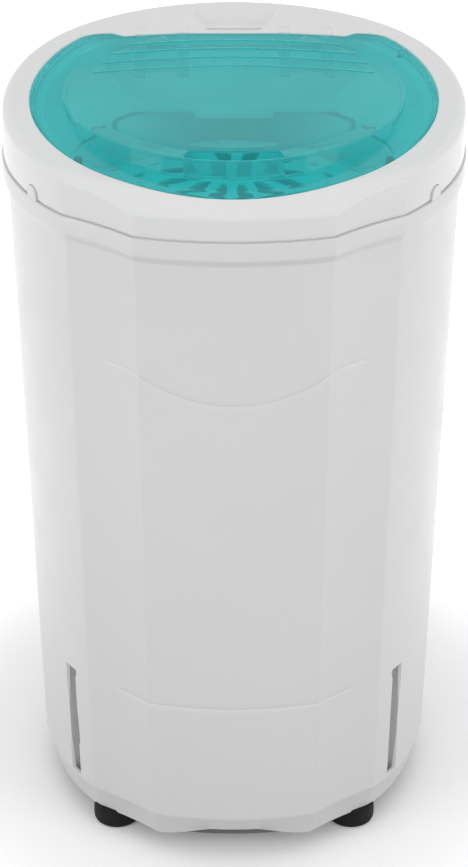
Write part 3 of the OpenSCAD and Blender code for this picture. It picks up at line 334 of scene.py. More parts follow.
def two_tones(nodes, links, mask, dark, light, low=0.35, high=0.65):
    stops = nodes.new("ShaderNodeValToRGB")
    stops.color_ramp.elements[0].position = low
    stops.color_ramp.elements[0].color = (*dark, 1.0)
    stops.color_ramp.elements[1].position = high
    stops.color_ramp.elements[1].color = (*light, 1.0)
    links.new(mask, stops.inputs["Fac"])
    return stops.outputs["Color"]


def between(nodes, links, mask, low, high):
    span = nodes.new("ShaderNodeMapRange")
    span.inputs["To Min"].default_value = low
    span.inputs["To Max"].default_value = high
    links.new(mask, span.inputs["Value"])
    return span.outputs["Result"]


def moulded(name, dark, light, smooth, rough, grain=900.0, depth=0.05, tone=5.0, coat=0.0):
    material, nodes, links = blank(name)
    shader = nodes["Principled BSDF"]
    effect = nodes.new("ShaderNodeGroup")
    effect.node_tree = MOULDED
    effect.inputs["Grain Scale"].default_value = grain
    effect.inputs["Grain Depth"].default_value = depth
    effect.inputs["Tone Scale"].default_value = tone
    links.new(two_tones(nodes, links, effect.outputs["Tone"], dark, light),
              shader.inputs["Base Color"])
    links.new(between(nodes, links, effect.outputs["Wear"], smooth, rough),
              shader.inputs["Roughness"])
    links.new(effect.outputs["Normal"], shader.inputs["Normal"])
    shader.inputs["Coat Weight"].default_value = coat
    return material


def metal(name, dark, light, smooth, rough, lines=1400.0, depth=0.15, metallic=1.0):
    material, nodes, links = blank(name)
    shader = nodes["Principled BSDF"]
    effect = nodes.new("ShaderNodeGroup")
    effect.node_tree = TURNED
    effect.inputs["Lines"].default_value = lines
    effect.inputs["Depth"].default_value = depth
    links.new(two_tones(nodes, links, effect.outputs["Blotch"], dark, light),
              shader.inputs["Base Color"])
    links.new(between(nodes, links, effect.outputs["Streak"], smooth, rough),
              shader.inputs["Roughness"])
    links.new(effect.outputs["Normal"], shader.inputs["Normal"])
    shader.inputs["Metallic"].default_value = metallic
    return material


def grey(v, tint=(1.0, 1.0, 1.0)):
    return tuple(v * t for t in tint)


# %% The finishes by the record's slots
COOL = (0.995, 1.0, 1.005)
finishes = {
    "body_white": moulded("cabinet white", grey(0.735, COOL), grey(0.755, COOL), 0.36, 0.46),
    "ring_white": moulded("ring white", grey(0.765, COOL), grey(0.785, COOL), 0.30, 0.40),
    # the base tray's near-black grey is painted shade for the dark gap under the front arch, not
    # the tray's own colour
    "tray_grey": moulded("base tray painted shade grey", grey(0.10), grey(0.13), 0.5, 0.7, grain=500),
    "rubber_black": moulded("black rubber", grey(0.005), grey(0.010), 0.6, 0.85, 700, 0.2, 40),
    "steel": metal("bright steel", grey(0.52), grey(0.62), 0.22, 0.38),
    "zinc_steel": metal("zinc plated steel", (0.50, 0.51, 0.53), (0.62, 0.62, 0.60), 0.3, 0.5),
    "plastic_black": moulded("black plastic", grey(0.018), grey(0.028), 0.35, 0.55, 600, 0.1),
    "plunger_red": moulded("red plunger", (0.42, 0.02, 0.015), (0.50, 0.03, 0.02), 0.3, 0.5),
    "guard_white": moulded("splash guard white", grey(0.72), grey(0.75), 0.32, 0.45),
    "tub_white": moulded("tub white", grey(0.66), grey(0.70), 0.4, 0.6),
    "hose_grey": moulded("hose grey", grey(0.055), grey(0.075), 0.5, 0.7, 500, 0.2),
    "spout_grey": moulded("spout grey", grey(0.40), grey(0.44), 0.38, 0.5),
    "basket_white": moulded("basket white", grey(0.68), grey(0.72), 0.32, 0.48),
    "plate_white": moulded("inner plate white", grey(0.74), grey(0.77), 0.28, 0.4),
    "cast_grey": metal("cast aluminium", grey(0.40), grey(0.50), 0.45, 0.7, 420, 0.5),
    "iron_dark": metal("dark laminated iron", grey(0.10), grey(0.16), 0.45, 0.65, 900, 0.3),
    "lining_brown": moulded("brake lining", (0.035, 0.022, 0.015), (0.06, 0.04, 0.028), 0.7, 0.9,
                            350, 0.4, 60),
}
finishes["rubber_black"].node_tree.nodes["Principled BSDF"].inputs[
    "Specular IOR Level"].default_value = 0.2
print(len(finishes), "finishes so far")

# %% [markdown]
# The windings are hundreds of varnished copper wires laid round the stator. Rings
# of a wave texture about the motor's axis paint a highlight along each turn and
# shade in the groove between turns, and bump the same rings, so the coil reads as wire without
# modelling every turn.

# %% Copper windings
def windings():
    material, nodes, links = blank("copper windings")
    shader = nodes["Principled BSDF"]
    where = nodes.new("ShaderNodeTexCoord")
    centre = nodes.new("ShaderNodeMapping")
    centre.inputs["Location"].default_value = (0.0, -AXIS_Y * MM, 0.0)
    wave = nodes.new("ShaderNodeTexWave")
    wave.wave_type = "RINGS"
    wave.rings_direction = "Z"
    wave.inputs["Scale"].default_value = 190.0
    wave.inputs["Distortion"].default_value = 0.6
    wave.inputs["Detail"].default_value = 1.0
    bump = nodes.new("ShaderNodeBump")
    bump.inputs["Strength"].default_value = 0.6
    bump.inputs["Distance"].default_value = 0.0004
    links.new(where.outputs["Object"], centre.inputs["Vector"])
    links.new(centre.outputs["Vector"], wave.inputs["Vector"])
    # the dark copper is painted shade between turns, the bright copper a painted highlight on each
    # turn
    links.new(two_tones(nodes, links, wave.outputs["Fac"], (0.20, 0.055, 0.02),
                        (0.62, 0.25, 0.10), 0.2, 0.9), shader.inputs["Base Color"])
    links.new(wave.outputs["Fac"], bump.inputs["Height"])
    links.new(bump.outputs["Normal"], shader.inputs["Normal"])
    shader.inputs["Metallic"].default_value = 0.75
    shader.inputs["Roughness"].default_value = 0.38
    shader.inputs["Coat Weight"].default_value = 0.4
    return material


finishes["winding_copper"] = windings()
print("windings done")

# %% [markdown]
# The lid is tinted clear plastic, about 2.5 mm thick. Glass in a path tracer
# blocks soft light, so the material mixes glass with a tinted transparent shader
# for shadow rays and for light that bounces about under the lid. The sheet is thin
# and even, so a low index keeps what lies under it in place. A quarter of the
# surface scatters light as paint does, which gives the slightly milky look of
# moulded plastic. Faint waves in the surface and fine dust scratches in its
# roughness keep it from looking like empty air.

# %% Teal lid
def teal_plastic():
    material, nodes, links = blank("teal lid")
    shader = nodes["Principled BSDF"]
    effect = nodes.new("ShaderNodeGroup")
    effect.node_tree = MOULDED
    effect.inputs["Grain Scale"].default_value = 26.0
    effect.inputs["Grain Depth"].default_value = 0.3
    effect.inputs["Tone Scale"].default_value = 9.0
    links.new(two_tones(nodes, links, effect.outputs["Tone"], (0.085, 0.675, 0.69),
                        (0.105, 0.715, 0.73)), shader.inputs["Base Color"])
    links.new(between(nodes, links, effect.outputs["Wear"], 0.02, 0.06),
              shader.inputs["Roughness"])
    links.new(effect.outputs["Normal"], shader.inputs["Normal"])
    shader.inputs["Transmission Weight"].default_value = 0.75
    shader.inputs["IOR"].default_value = 1.2
    clear = nodes.new("ShaderNodeBsdfTransparent")
    clear.inputs["Color"].default_value = (0.5, 0.93, 0.93, 1.0)
    rays = nodes.new("ShaderNodeLightPath")
    indirect = math_node(nodes, "MAXIMUM")
    mix = nodes.new("ShaderNodeMixShader")
    links.new(rays.outputs["Is Shadow Ray"], indirect.inputs[0])
    links.new(rays.outputs["Is Diffuse Ray"], indirect.inputs[1])
    links.new(indirect.outputs["Value"], mix.inputs["Fac"])
    links.new(shader.outputs["BSDF"], mix.inputs[1])
    links.new(clear.outputs["BSDF"], mix.inputs[2])
    links.new(mix.outputs["Shader"], nodes["Material Output"].inputs["Surface"])
    return material


finishes["lid_teal"] = teal_plastic()
print("finishes:", len(finishes))

# %% [markdown]
# ## The hidden machinery
# Motor, brake, hose and screws keep their CAD shape, because few people ever see
# them. Each CAD node gets the finish that the record names for it.

# %% Finishes on the CAD nodes
for part in frame["record"]["subparts"]:
    data = frame["nodes"][part["node"]].data
    data.materials.clear()
    data.materials.append(finishes[part["material_slot"]])

# %% [markdown]
# ## The cabinet
# The body is one tall moulding. From the floor up it has a skirt that leans
# out, a wall that widens by about 10 mm, a short ramp and a straight collar under
# the ring. At the front, the skirt arches up between the feet. Each row of the
# list gives a radius and a height, and small rounds at the edges catch light.

# %% Rows of the cabinet
WALL_LOW_Z, WALL_HIGH_Z, WALL_LOW_R, WALL_HIGH_R = 45.0, 565.0, 166.5, 176.0
SHELL = 2.5


def wall_radius(z):
    return WALL_LOW_R + (WALL_HIGH_R - WALL_LOW_R) * (z - WALL_LOW_Z) / (WALL_HIGH_Z - WALL_LOW_Z)


def arch_height(angle):
    x = abs(outline(160, angle) * math.sin(math.radians(angle)))
    if abs(angle) > 90:
        return 17.0
    return 17.0 + 9.8 * (1 - ramp(x, 8, 66))


def shell_row(r, z, floor=False):
    def row(angle):
        low = arch_height(angle) if floor else 0.0
        return outline(r, angle), (low + z if floor else z)
    return row


# %% [markdown]
# Two shallow grooves run across the front: a wide smile at two thirds of the
# height, which ends in level lines, and a straight one near the floor. The rows
# beside a groove follow its line and step in by up to 0.5 mm, so it needs no cutting.

# %% Rows that follow the two grooves
SMILE_R, SMILE_Z, SMILE_HALF, SMILE_DEPTH = 132.0, 445.8, 76.0, 0.5
LOW_GROOVE_Z, LOW_GROOVE_DEPTH, GROOVE_END = 158.8, 0.32, 104.0


def groove_row(line, off, depth):
    def row(angle):
        x = abs(outline(WALL_HIGH_R, angle) * math.sin(math.radians(angle)))
        z = line(x) + off
        fade = (1 - ramp(x, GROOVE_END - 8, GROOVE_END)) if abs(angle) < 90 else 0.0
        return outline(wall_radius(z), angle) - depth * fade, z
    return row


def smile(x):
    return SMILE_Z + SMILE_R - math.sqrt(SMILE_R ** 2 - min(x, SMILE_HALF) ** 2)


def groove_rows(line, deepest):
    steps = ((-6, 0), (-1.5, 0), (-1.1, 0.25), (-0.7, 0.85), (-0.4, 1), (0.4, 1), (0.7, 0.85),
             (1.1, 0.25), (1.5, 0), (6, 0))
    return [groove_row(line, off, share * deepest) for off, share in steps]


def cabinet_rows():
    rows = [shell_row(156.8, 0, True), shell_row(158.6, 0, True), shell_row(159.1, 0.3, True),
            shell_row(159.25, 0.9, True), shell_row(161.0, 27.6), shell_row(165.6, 40.4),
            shell_row(166.1, 41.6), shell_row(166.4, 42.6), shell_row(166.45, 44.0)]
    rows += [shell_row(wall_radius(z), z) for z in (46, 80, 118, 148)]
    rows += groove_rows(lambda x: LOW_GROOVE_Z, LOW_GROOVE_DEPTH)
    rows += [shell_row(wall_radius(z), z) for z in (170, 250, 340, 430)]
    rows += groove_rows(smile, SMILE_DEPTH)
    rows += [shell_row(wall_radius(z), z) for z in (484, 520, 550, 563.0)]
    rows += [shell_row(r, z) for r, z in ((176.05, 564.6), (176.5, 565.4), (179.5, 569.9),
                                          (179.95, 570.9), (180, 572.0), (180, 584.2),
                                          (179.8, 584.8), (179.2, 585.0), (177.8, 585.0),
                                          (177.5, 584.7), (177.5, 571.5), (173.6, 563.5))]
    rows += [shell_row(wall_radius(z) - SHELL, z) for z in (550, 340, 156, 46)]
    rows.append(shell_row(161.4, 38.0))
    return rows


# %% [markdown]
# The two air slots are cut beside the front feet. Where a slot goes, the faces of
# the outer and the inner wall are deleted, and the two holes are joined again by a
# bridge, which makes the slot's four inner faces.

# %% Cabinet mesh with its air slots
SLOT_ANGLE, SLOT_HALF, SLOT_LOW, SLOT_HIGH = 53.5, 2.25, 46.0, 157.3


def in_slot(face):
    spot = face.calc_center_median() / MM
    angle = math.degrees(math.atan2(spot.x, -(spot.y - AXIS_Y)))
    return abs(abs(angle) - SLOT_ANGLE) < SLOT_HALF and SLOT_LOW < spot.z < SLOT_HIGH


cabinet_mesh = ringed(cabinet_rows())
holes = [f for f in cabinet_mesh.faces if in_slot(f)]
bmesh.ops.delete(cabinet_mesh, geom=holes, context="FACES")
for side in (-1, 1):
    open_edges = [e for e in cabinet_mesh.edges if e.is_boundary and e.verts[0].co.x * side > 0]
    bmesh.ops.bridge_loops(cabinet_mesh, edges=open_edges)
print("cabinet:", len(cabinet_mesh.faces), "faces,", len(holes), "cut for the slots")
cabinet = new_piece("cabinet_shell", cabinet_mesh, sharp=30)
dressed(cabinet, "body", finishes["body_white"], "body_white", "cabinet")

# %% [markdown]
# Behind each slot hangs a shallow channel that keeps fingers and splashes out, so
# one looks at pale plastic in shade and not into the dark. Air passes above and
# below it. A flat grid is folded into the channel and given thickness.

# %% Baffles behind the slots
def baffle(side, depth=7.5, half=2.75, low=38.0, high=166.0):
    bm = bmesh.new()
    bmesh.ops.create_grid(bm, x_segments=20, y_segments=16, size=1.0)
    for v in bm.verts:
        s, z = v.co.x, low + (v.co.y + 1) / 2 * (high - low)
        fold = min(1.0, (1 - abs(s)) / 0.3)
        across = min(1.0, abs(s) / 0.7) * (1 if s > 0 else -1)
        angle = side * SLOT_ANGLE + half * across
        radius = outline(wall_radius(z), angle) - SHELL - 0.1 - depth * fold
        v.co = place(radius, angle, z)
    bmesh.ops.recalc_face_normals(bm, faces=bm.faces)
    bmesh.ops.solidify(bm, geom=bm.faces[:], thickness=1.2 * MM)
    return bm


for side, name in ((-1, "slot_baffle_left"), (1, "slot_baffle_right")):
    dressed(new_piece(name, baffle(side)), "body", finishes["body_white"], "body_white")

# %% [markdown]
# Two round-topped tabs reach up from the cabinet into notches of the ring, one on
# each side of the front. Each is a disc with a straight foot, bent to the ring's
# curve. They are built flat from a circle and a rectangle, then wrapped.

# %% Locating tabs
TAB_ANGLE, TAB_R, TAB_Z = 57.0, 7.0, 588.5


def tab_outline(grow=0.0, steps=24, low=584.5):
    points = [(-(TAB_R + grow), low)]
    for i in range(steps + 1):
        t = math.pi * (1 - i / steps)
        points.append(((TAB_R + grow) * math.cos(t), TAB_Z + (TAB_R + grow) * math.sin(t)))
    points.append(((TAB_R + grow), low))
    return points


def wrapped_plate(points, side, outer, inner, round_edge=0.0):
    bm = bmesh.new()
    ring = [bm.verts.new((u, 0, z)) for u, z in points]
    face = bm.faces.new(ring)
    made = bmesh.ops.extrude_face_region(bm, geom=[face])["geom"]
    back = {g for g in made if isinstance(g, bmesh.types.BMVert)}
    spots = [(v, v.co.x, v.co.z, v in back) for v in bm.verts]
    for v, u, z, is_back in spots:
        angle = side * TAB_ANGLE + math.degrees(u / outer)
        v.co = place(outline(inner if is_back else outer, angle), angle, z)
    if round_edge:
        rim = [e for e in bm.edges if all(not spot[3] for spot in spots if spot[0] in e.verts)]
        bmesh.ops.bevel(bm, geom=rim, offset=round_edge * MM, affect="EDGES", segments=3,
                        profile=0.5, material=-1)
    return bm


for side, name in ((-1, "tab_left"), (1, "tab_right")):
    tab = new_piece(name, wrapped_plate(tab_outline(), side, 179.8, 176.6, 0.6))
    dressed(tab, "body", finishes["body_white"], "body_white")

# %% [markdown]
# ## Outline of the lid and of its opening
# The lid is round, but its back is cut off in a long bow that comes forward at
# both ends, where the deck overlaps it. Outside the bow the lid's corners reach
# back again as two rounded ears. The opening in the ring is the same outline, grown
# by the gap between the two pieces.

# %% Edge of the lid in a direction
LID_R, LID_BACK, BOW = 156.2, 106.0, 7.3


def edge_radius(angle, grow=0.0):
    a = abs(angle)
    round_part = LID_R + grow * 0.9
    if a < 95:
        return round_part
    c, s = -math.cos(math.radians(a)), math.sin(math.radians(a))
    ear = soft_min(round_part, (104.6 + grow * 1.5) / c, 13.0) if c > 0 else round_part
    radius = (LID_BACK + grow * 1.7) / c if c > 0.3 else round_part
    for _ in range(12):
        x = radius * s
        radius = (LID_BACK + grow * 1.7 - BOW * (x / 88.0) ** 2) / max(c, 0.3)
    t = ramp(a, 136.9, 138.5)
    return ear * (1 - t) + min(radius, ear) * t


print("edge at 90, 120, 134, 140, 180:",
      [round(edge_radius(a), 1) for a in (90, 120, 134, 140, 180)])

# %% [markdown]
# ## The top ring
# The ring is one closed section carried round the drum axis: outer wall, rounded
# top edge, sloping top, the wall of the opening, the ledge that the lid's rim
# comes down on, and the skirt that carries the splash guard. The top edge is
# crisp at the front and softer at the sides and back. The deck behind the lid has
# a finger scoop, which the rows follow as a smooth hollow.

# %% Scoop in the rear deck
RING_R, LEDGE_R = 178.5, 146.0
OPEN_R, APRON_Y = 157.0, 118.0


def scoop(x, y):
    if y < 108:
        return 0.0
    half = 20.5 + 0.40 * (min(y, 148) - 114)
    across = 1 - ramp(abs(x), half - 2.4, half + 2.4)
    along = ramp(y, 109.6, 114.5) * (1 - 0.35 * ramp(y, 118, 150)) * (1 - ramp(y, 140, 166))
    return 6.0 * across * along


def deck_at(radius, angle):
    t = math.radians(angle)
    x, y = radius * math.sin(t), -radius * math.cos(t)
    return top_height(x, y) - scoop(x, y)


def edge_round(angle):
    return 1.5 + 6.5 * ramp(abs(angle), 48, 70)


def apron_radius(angle):
    c = -math.cos(math.radians(angle))
    return APRON_Y / c if c > 0.35 else 340.0


# %% Rows of the ring
def ring_rows():
    def outer(angle):
        return outline(RING_R, angle)

    def corner(share):
        def row(angle):
            r, round_r = outer(angle), edge_round(angle)
            inner = r - round_r * (1 - math.cos(share * math.pi / 2))
            return inner, top_at(inner, angle) - round_r * (1 - math.sin(share * math.pi / 2))
        return row

    def across(share):
        def row(angle):
            high = outer(angle) - edge_round(angle)
            low = edge_radius(angle, 0.9) + 1.1
            radius = high + (low - high) * share
            return radius, deck_at(radius, angle)
        return row

    def mouth(inward, down):
        def row(angle):
            radius = edge_radius(angle, 0.9) + inward
            return radius, top_at(radius, angle) - down
        return row

    def walled(base, extra, down, fixed=None, k=4.0):
        def row(angle):
            radius = soft_min(base, apron_radius(angle), k) + extra
            return radius, (fixed if fixed is not None else top_at(radius, angle) - down)
        return row

    rows = [lambda a: (outer(a) - 0.5, 586.5), lambda a: (outer(a) - 0.1, 586.7),
            lambda a: (outer(a), 587.2), lambda a: (outer(a), 591.0)]
    rows += [corner(i / 6) for i in range(7)]
    rows += [across(i / 30) for i in range(1, 31)]
    rows += [mouth(0.7, 0.06), mouth(0.3, 0.3), mouth(0.08, 0.65), mouth(0.0, 1.1), mouth(0.0, 2.4)]
    rows += [walled(OPEN_R, 0.0, 2.6), walled(OPEN_R, 0.0, 7.9), walled(OPEN_R, -0.5, 8.4),
             walled(LEDGE_R, 0.6, 8.4), walled(LEDGE_R, 0.0, 9.0), walled(LEDGE_R, 0.0, 0, 598.8),
             walled(LEDGE_R, 2.5, 0, 598.8), walled(LEDGE_R, 2.5, 10.9),
             walled(OPEN_R, 2.5, 10.9), walled(OPEN_R, 2.5, 2.7)]
    rows += [lambda a: (outer(a) - 6.0, top_at(outer(a) - 6.0, a) - 7.5),
             lambda a: (outer(a) - 2.5, top_at(outer(a) - 2.5, a) - 11.0),
             lambda a: (outer(a) - 2.5, 590.0), lambda a: (outline(175.0, a), 588.5),
             lambda a: (outline(174.7, a), 577.0), lambda a: (outline(177.2, a), 577.0),
             lambda a: (outline(177.2, a), 586.5)]
    return rows


ring_mesh = ringed(ring_rows())
top_ring = new_piece("ring_shell", ring_mesh)
print("ring:", len(top_ring.data.polygons), "faces")

# %% [markdown]
# Holes that cross the section are cut with an exact boolean: the four slots in
# the deck for the lid's arms, and the two notches over the cabinet's tabs. The four
# slot cutters are joined into one mesh and cut at once, and each notch is cut on its own.

# %% Slots and notches
def box_cutter(bm, low, high):
    made = bmesh.ops.create_cube(bm, size=1.0)["verts"]
    size = [b - a for a, b in zip(low, high)]
    middle = [(a + b) / 2 for a, b in zip(low, high)]
    bmesh.ops.scale(bm, vec=Vector(size) * MM, verts=made)
    bmesh.ops.translate(bm, vec=Vector((middle[0], middle[1] + AXIS_Y, middle[2])) * MM,
                        verts=made)


def cut_away(obj, cutter_mesh):
    bmesh.ops.recalc_face_normals(cutter_mesh, faces=cutter_mesh.faces)
    mesh = bpy.data.meshes.new("cutter")
    cutter_mesh.to_mesh(mesh)
    cutter_mesh.free()
    cutter = bpy.data.objects.new("cutter", mesh)
    bpy.context.scene.collection.objects.link(cutter)
    modifier = obj.modifiers.new("cut", "BOOLEAN")
    modifier.object = cutter
    modifier.operation = "DIFFERENCE"
    modifier.solver = "EXACT"
    bpy.context.view_layer.objects.active = obj
    with bpy.context.temp_override(object=obj, active_object=obj):
        bpy.ops.object.modifier_apply(modifier="cut")
    bpy.data.objects.remove(cutter)
    bpy.data.meshes.remove(mesh)
    obj.data.shade_smooth()
    obj.data.set_sharp_from_angle(angle=math.radians(40))


ARM_BANDS = ((35.5, 44.5), (69.5, 78.5))
slots = bmesh.new()
for side in (-1, 1):
    for low, high in ARM_BANDS:
        xs = sorted((side * (low - 0.05), side * (high + 0.05)))
        box_cutter(slots, (xs[0], 98.0, 627.0), (xs[1], 116.3, 640.0))
cut_away(top_ring, slots)
for side in (-1, 1):
    cut_away(top_ring, wrapped_plate(tab_outline(0.55, low=583.0), side, 182.0, 175.4))
dressed(top_ring, "body", finishes["ring_white"], "ring_white", "top_ring")

# %% [markdown]
# Under the deck, the ring carries a straight apron behind the lid and two
# knuckles for the hinge pins. The knuckles are short cylinders with a web back to
# the apron, and their edges get a small bevel.

# %% Hinge knuckles of the ring
HINGE_Y, HINGE_Z, KNUCKLE_R = 112.0, 631.0, 3.7


def bevel_sharp(bm, width, segments=2, degrees=35):
    sharp = [e for e in bm.edges if len(e.link_faces) == 2
             and e.calc_face_angle(0) > math.radians(degrees)]
    bmesh.ops.bevel(bm, geom=sharp, offset=width * MM, affect="EDGES", segments=segments,
                    profile=0.5, material=-1, clamp_overlap=True)


def x_rod(bm, radius, x0, x1, y, z, segments=48):
    turn = Matrix.Rotation(math.pi / 2, 4, "Y")
    at = Matrix.Translation(Vector(((x0 + x1) / 2, y + AXIS_Y, z)) * MM)
    bmesh.ops.create_cone(bm, cap_ends=True, segments=segments, radius1=radius * MM,
                          radius2=radius * MM, depth=(x1 - x0) * MM, matrix=at @ turn)


for side, name in ((-1, "knuckle_left"), (1, "knuckle_right")):
    bm = bmesh.new()
    x0, x1 = sorted((side * 45.2, side * 68.8))
    x_rod(bm, 3.2, x0, x1, HINGE_Y, HINGE_Z - 0.4)
    box_cutter(bm, (x0, HINGE_Y, HINGE_Z - 3.4), (x1, APRON_Y + 1.0, HINGE_Z + 0.8))
    bevel_sharp(bm, 0.4)
    dressed(new_piece(name, bm), "body", finishes["ring_white"], "ring_white")

# %% [markdown]
# ## The lid
# The lid has a flat rim that lies flush with the ring, and a raised disc in the
# middle whose front wall stands up from the sloping rim. At the back, disc and rim
# run into one surface. A finger pocket is sunk into the disc at the front. One
# closed section is carried round the axis, outer face first and inner face last.
# Extra directions beside the pocket's two walls keep them steep.

# %% Levels of the lid
LID_T, DISC_R, DISC_Z, SINK = 2.5, 131.3, 630.5, 0.6
POCKET_BACK = 111.8
WALLS = (16.38, 16.46, 16.54, 16.62)
LID_ANGLES = sorted(EVEN + [s * a for s in (-1, 1) for a in WALLS + (16.2, 16.8)])


def rim_level(radius, angle):
    return top_at(radius, angle) - SINK


def disc_level(radius, angle):
    return soft_max(rim_level(radius, angle), DISC_Z, 1.2)


def in_pocket(angle):
    return 1 - ramp(abs(angle), 16.42, 16.58)


def pocket_back(angle):
    return POCKET_BACK / math.cos(math.radians(min(abs(angle), 17.5)))


def lid_row(base, share, down=0.0, floor_share=None, back=None):
    """share 1 is on the disc and 0 is on the rim; floor_share holds inside the pocket."""
    def row(angle):
        radius = base
        if back is not None:
            radius = pocket_back(angle) + back
        edge = edge_radius(angle)
        radius = min(radius, edge - 0.05 * (LID_R - radius))
        level = share
        if floor_share is not None:
            level = share + (floor_share - share) * in_pocket(angle)
        z = rim_level(radius, angle)
        z += level * (disc_level(radius, angle) - z)
        return radius, z - down
    return row


def rim_depth(angle):
    return 7.3 - 4.7 * ramp(abs(angle), 127, 134)


def rim_row(inward, from_top, share):
    def row(angle):
        radius = edge_radius(angle) - inward * (0.08 + 0.92 * (1 - ramp(abs(angle), 127, 134)))
        top = rim_level(radius, angle)
        return radius, top - from_top - share * (rim_depth(angle) - from_top)
    return row


def lid_rows():
    outer = [(2, 1), (30, 1), (60, 1), (84, 1), (98, 1), (106, 1)]
    rows = [lid_row(r, s) for r, s in outer]
    rows += [lid_row(0, 1, 0.0, 1, back=-0.9), lid_row(0, 1, 0.12, 1, back=-0.3),
             lid_row(0, 1, 0.0, 0.96, back=0.0), lid_row(0, 1, 0.0, 0.05, back=0.15),
             lid_row(0, 1, 0.0, 0.005, back=0.5), lid_row(0, 1, 0.0, 0.0, back=1.2)]
    rows += [lid_row(r, 1, 0.0, 0.0) for r in (121, 125, 127.6)]
    rows += [lid_row(128.3, 1, 0.0, 0.005), lid_row(128.65, 1, 0.0, 0.05),
             lid_row(128.8, 1, 0.0, 0.96), lid_row(129.1, 1, 0.05, 1), lid_row(129.8, 1)]
    rows += [lid_row(130.5, 1, 0.02), lid_row(131.0, 0.99), lid_row(131.3, 0.955),
             lid_row(131.42, 0.05), lid_row(131.75, 0.012), lid_row(132.6, 0)]
    rows += [lid_row(r, 0) for r in (137, 142, 147, 151, 154)]
    rows += [rim_row(1.1, 0.0, 0), rim_row(0.5, 0.08, 0), rim_row(0.12, 0.38, 0),
             rim_row(0.0, 0.8, 0), rim_row(0.0, 0.8, 0.93), rim_row(0.35, 0.8, 1),
             rim_row(2.15, 0.8, 1), rim_row(2.5, 0.8, 0.93), rim_row(2.5, 3.4, 0),
             rim_row(3.3, 2.6, 0)]
    rows += [lid_row(r, 0, LID_T) for r in (148, 142, 136, 132.0, 129.4)]
    rows += [lid_row(128.9, 0.05, LID_T, 0.0), lid_row(128.75, 0.93, LID_T, 0.0),
             lid_row(128.0, 1, LID_T, 0.0), lid_row(121, 1, LID_T, 0.0)]
    rows += [lid_row(0, 1, LID_T, 0.0, back=-1.6), lid_row(0, 1, LID_T, 0.05, back=-2.35),
             lid_row(0, 1, LID_T, 0.93, back=-2.5), lid_row(0, 1, LID_T, 1, back=-3.2)]
    rows += [lid_row(r, 1, LID_T) for r in (100, 84, 60, 30, 2)]
    return rows


lid_mesh = ringed(lid_rows(), angles=LID_ANGLES, closed=False, caps=True)
lid = new_piece("lid_shell", lid_mesh, sharp=50)
dressed(lid, "lid", finishes["lid_teal"], "lid_teal", "lid")

# %% [markdown]
# Raised ribs run across the back of the lid, each a low round bar that bows
# forward at its ends like the lid's own edge. A grid is bent along the bow, laid
# on the lid's surface and given thickness.

# %% Ribs across the back
def lid_rib(name, y_mid, half, bow, width=3.4, height=0.55):
    bm = bmesh.new()
    bmesh.ops.create_grid(bm, x_segments=90, y_segments=8, size=1.0)
    for v in bm.verts:
        u, w = v.co.x, v.co.y
        x = u * half
        y = y_mid - bow * u * u + w * width / 2
        taper = min(1.0, (1 - abs(u)) * half / 3.0)
        arch = math.sqrt(max(0.0, 1 - w * w)) * math.sqrt(max(0.0, taper * (2 - taper)))
        z = top_height(x, y) - SINK
        if math.hypot(x, y) < DISC_R:
            z = soft_max(z, DISC_Z, 1.2)
        v.co = Vector((x, y + AXIS_Y, z + height * arch - 0.02)) * MM
    bmesh.ops.solidify(bm, geom=bm.faces[:], thickness=0.35 * MM)
    return new_piece(name, bm)


RIBS = [(92.0, 86, 9.0), (77.0, 96, 10.0), (62.0, 105, 11.5), (46.0, 110, 13.0)]
for i, (y_mid, half, bow) in enumerate(RIBS):
    dressed(lid_rib(f"lid_rib_{i + 1}", y_mid, half, bow), "lid", finishes["lid_teal"], "lid_teal")

# %% [markdown]
# Each hinge is a pair of flat arms under the lid, joined by a web. Behind the
# lid's edge each arm ends in a knuckle on the steel pin. The knuckle fills its
# slot in the deck, and it is white there, so the deck looks unbroken when the lid
# is shut.

# %% Hinge arms with their white knuckles
def arm_top(x, y):
    z = top_height(x, y) - SINK - LID_T - 0.1
    if math.hypot(x, y) < DISC_R - 3:
        z = max(z, DISC_Z - LID_T - 0.1)
    return z


def sloped_block(bm, xs, y0, y1, bottom, thick=None):
    """A block under the lid from y0 to y1; it is thick deep, or reaches down to bottom."""
    made = bmesh.ops.create_cube(bm, size=1.0)["verts"]
    for v in made:
        x = xs[0] if v.co.x < 0 else xs[1]
        y = y0 if v.co.y < 0 else y1
        top = min(arm_top(x, y), 631.2)
        z = top if v.co.z > 0 else (bottom if thick is None else top - thick)
        v.co = Vector((x, y + AXIS_Y, z)) * MM


def hinge_arms(side):
    bm = bmesh.new()
    for low, high in ARM_BANDS:
        xs = sorted((side * low, side * high))
        back = LID_BACK - BOW * (high / 88.0) ** 2 + 3.0
        sloped_block(bm, xs, 39.0, 84.0, 622.5)
        sloped_block(bm, xs, 83.0, back, None, 2.2)
    web = sorted((side * (ARM_BANDS[0][1] - 0.5), side * (ARM_BANDS[1][0] + 0.5)))
    sloped_block(bm, web, 40.0, 61.0, None, 1.6)
    bevel_sharp(bm, 0.4)
    return bm


def knuckle_caps(side):
    bm = bmesh.new()
    for low, high in ARM_BANDS:
        xs = sorted((side * low, side * high))
        front = LID_BACK - BOW * (high / 88.0) ** 2 + 1.9
        x_rod(bm, KNUCKLE_R - 0.1, xs[0], xs[1], HINGE_Y, HINGE_Z)
        box_cutter(bm, (xs[0], front, HINGE_Z - 1.5), (xs[1], HINGE_Y + 4.2, 634.8))
    for v in bm.verts:
        if v.co.z > 634.7 * MM:
            v.co.z = (top_height(v.co.x / MM, v.co.y / MM - AXIS_Y) - 0.03) * MM
    bevel_sharp(bm, 0.06)
    return bm


for side, name in ((-1, "left"), (1, "right")):
    dressed(new_piece(f"lid_arms_{name}", hinge_arms(side)), "lid", finishes["lid_teal"],
            "lid_teal", f"hinge_arm_{name}")
    dressed(new_piece(f"lid_knuckles_{name}", knuckle_caps(side)), "lid",
            finishes["ring_white"], "ring_white")

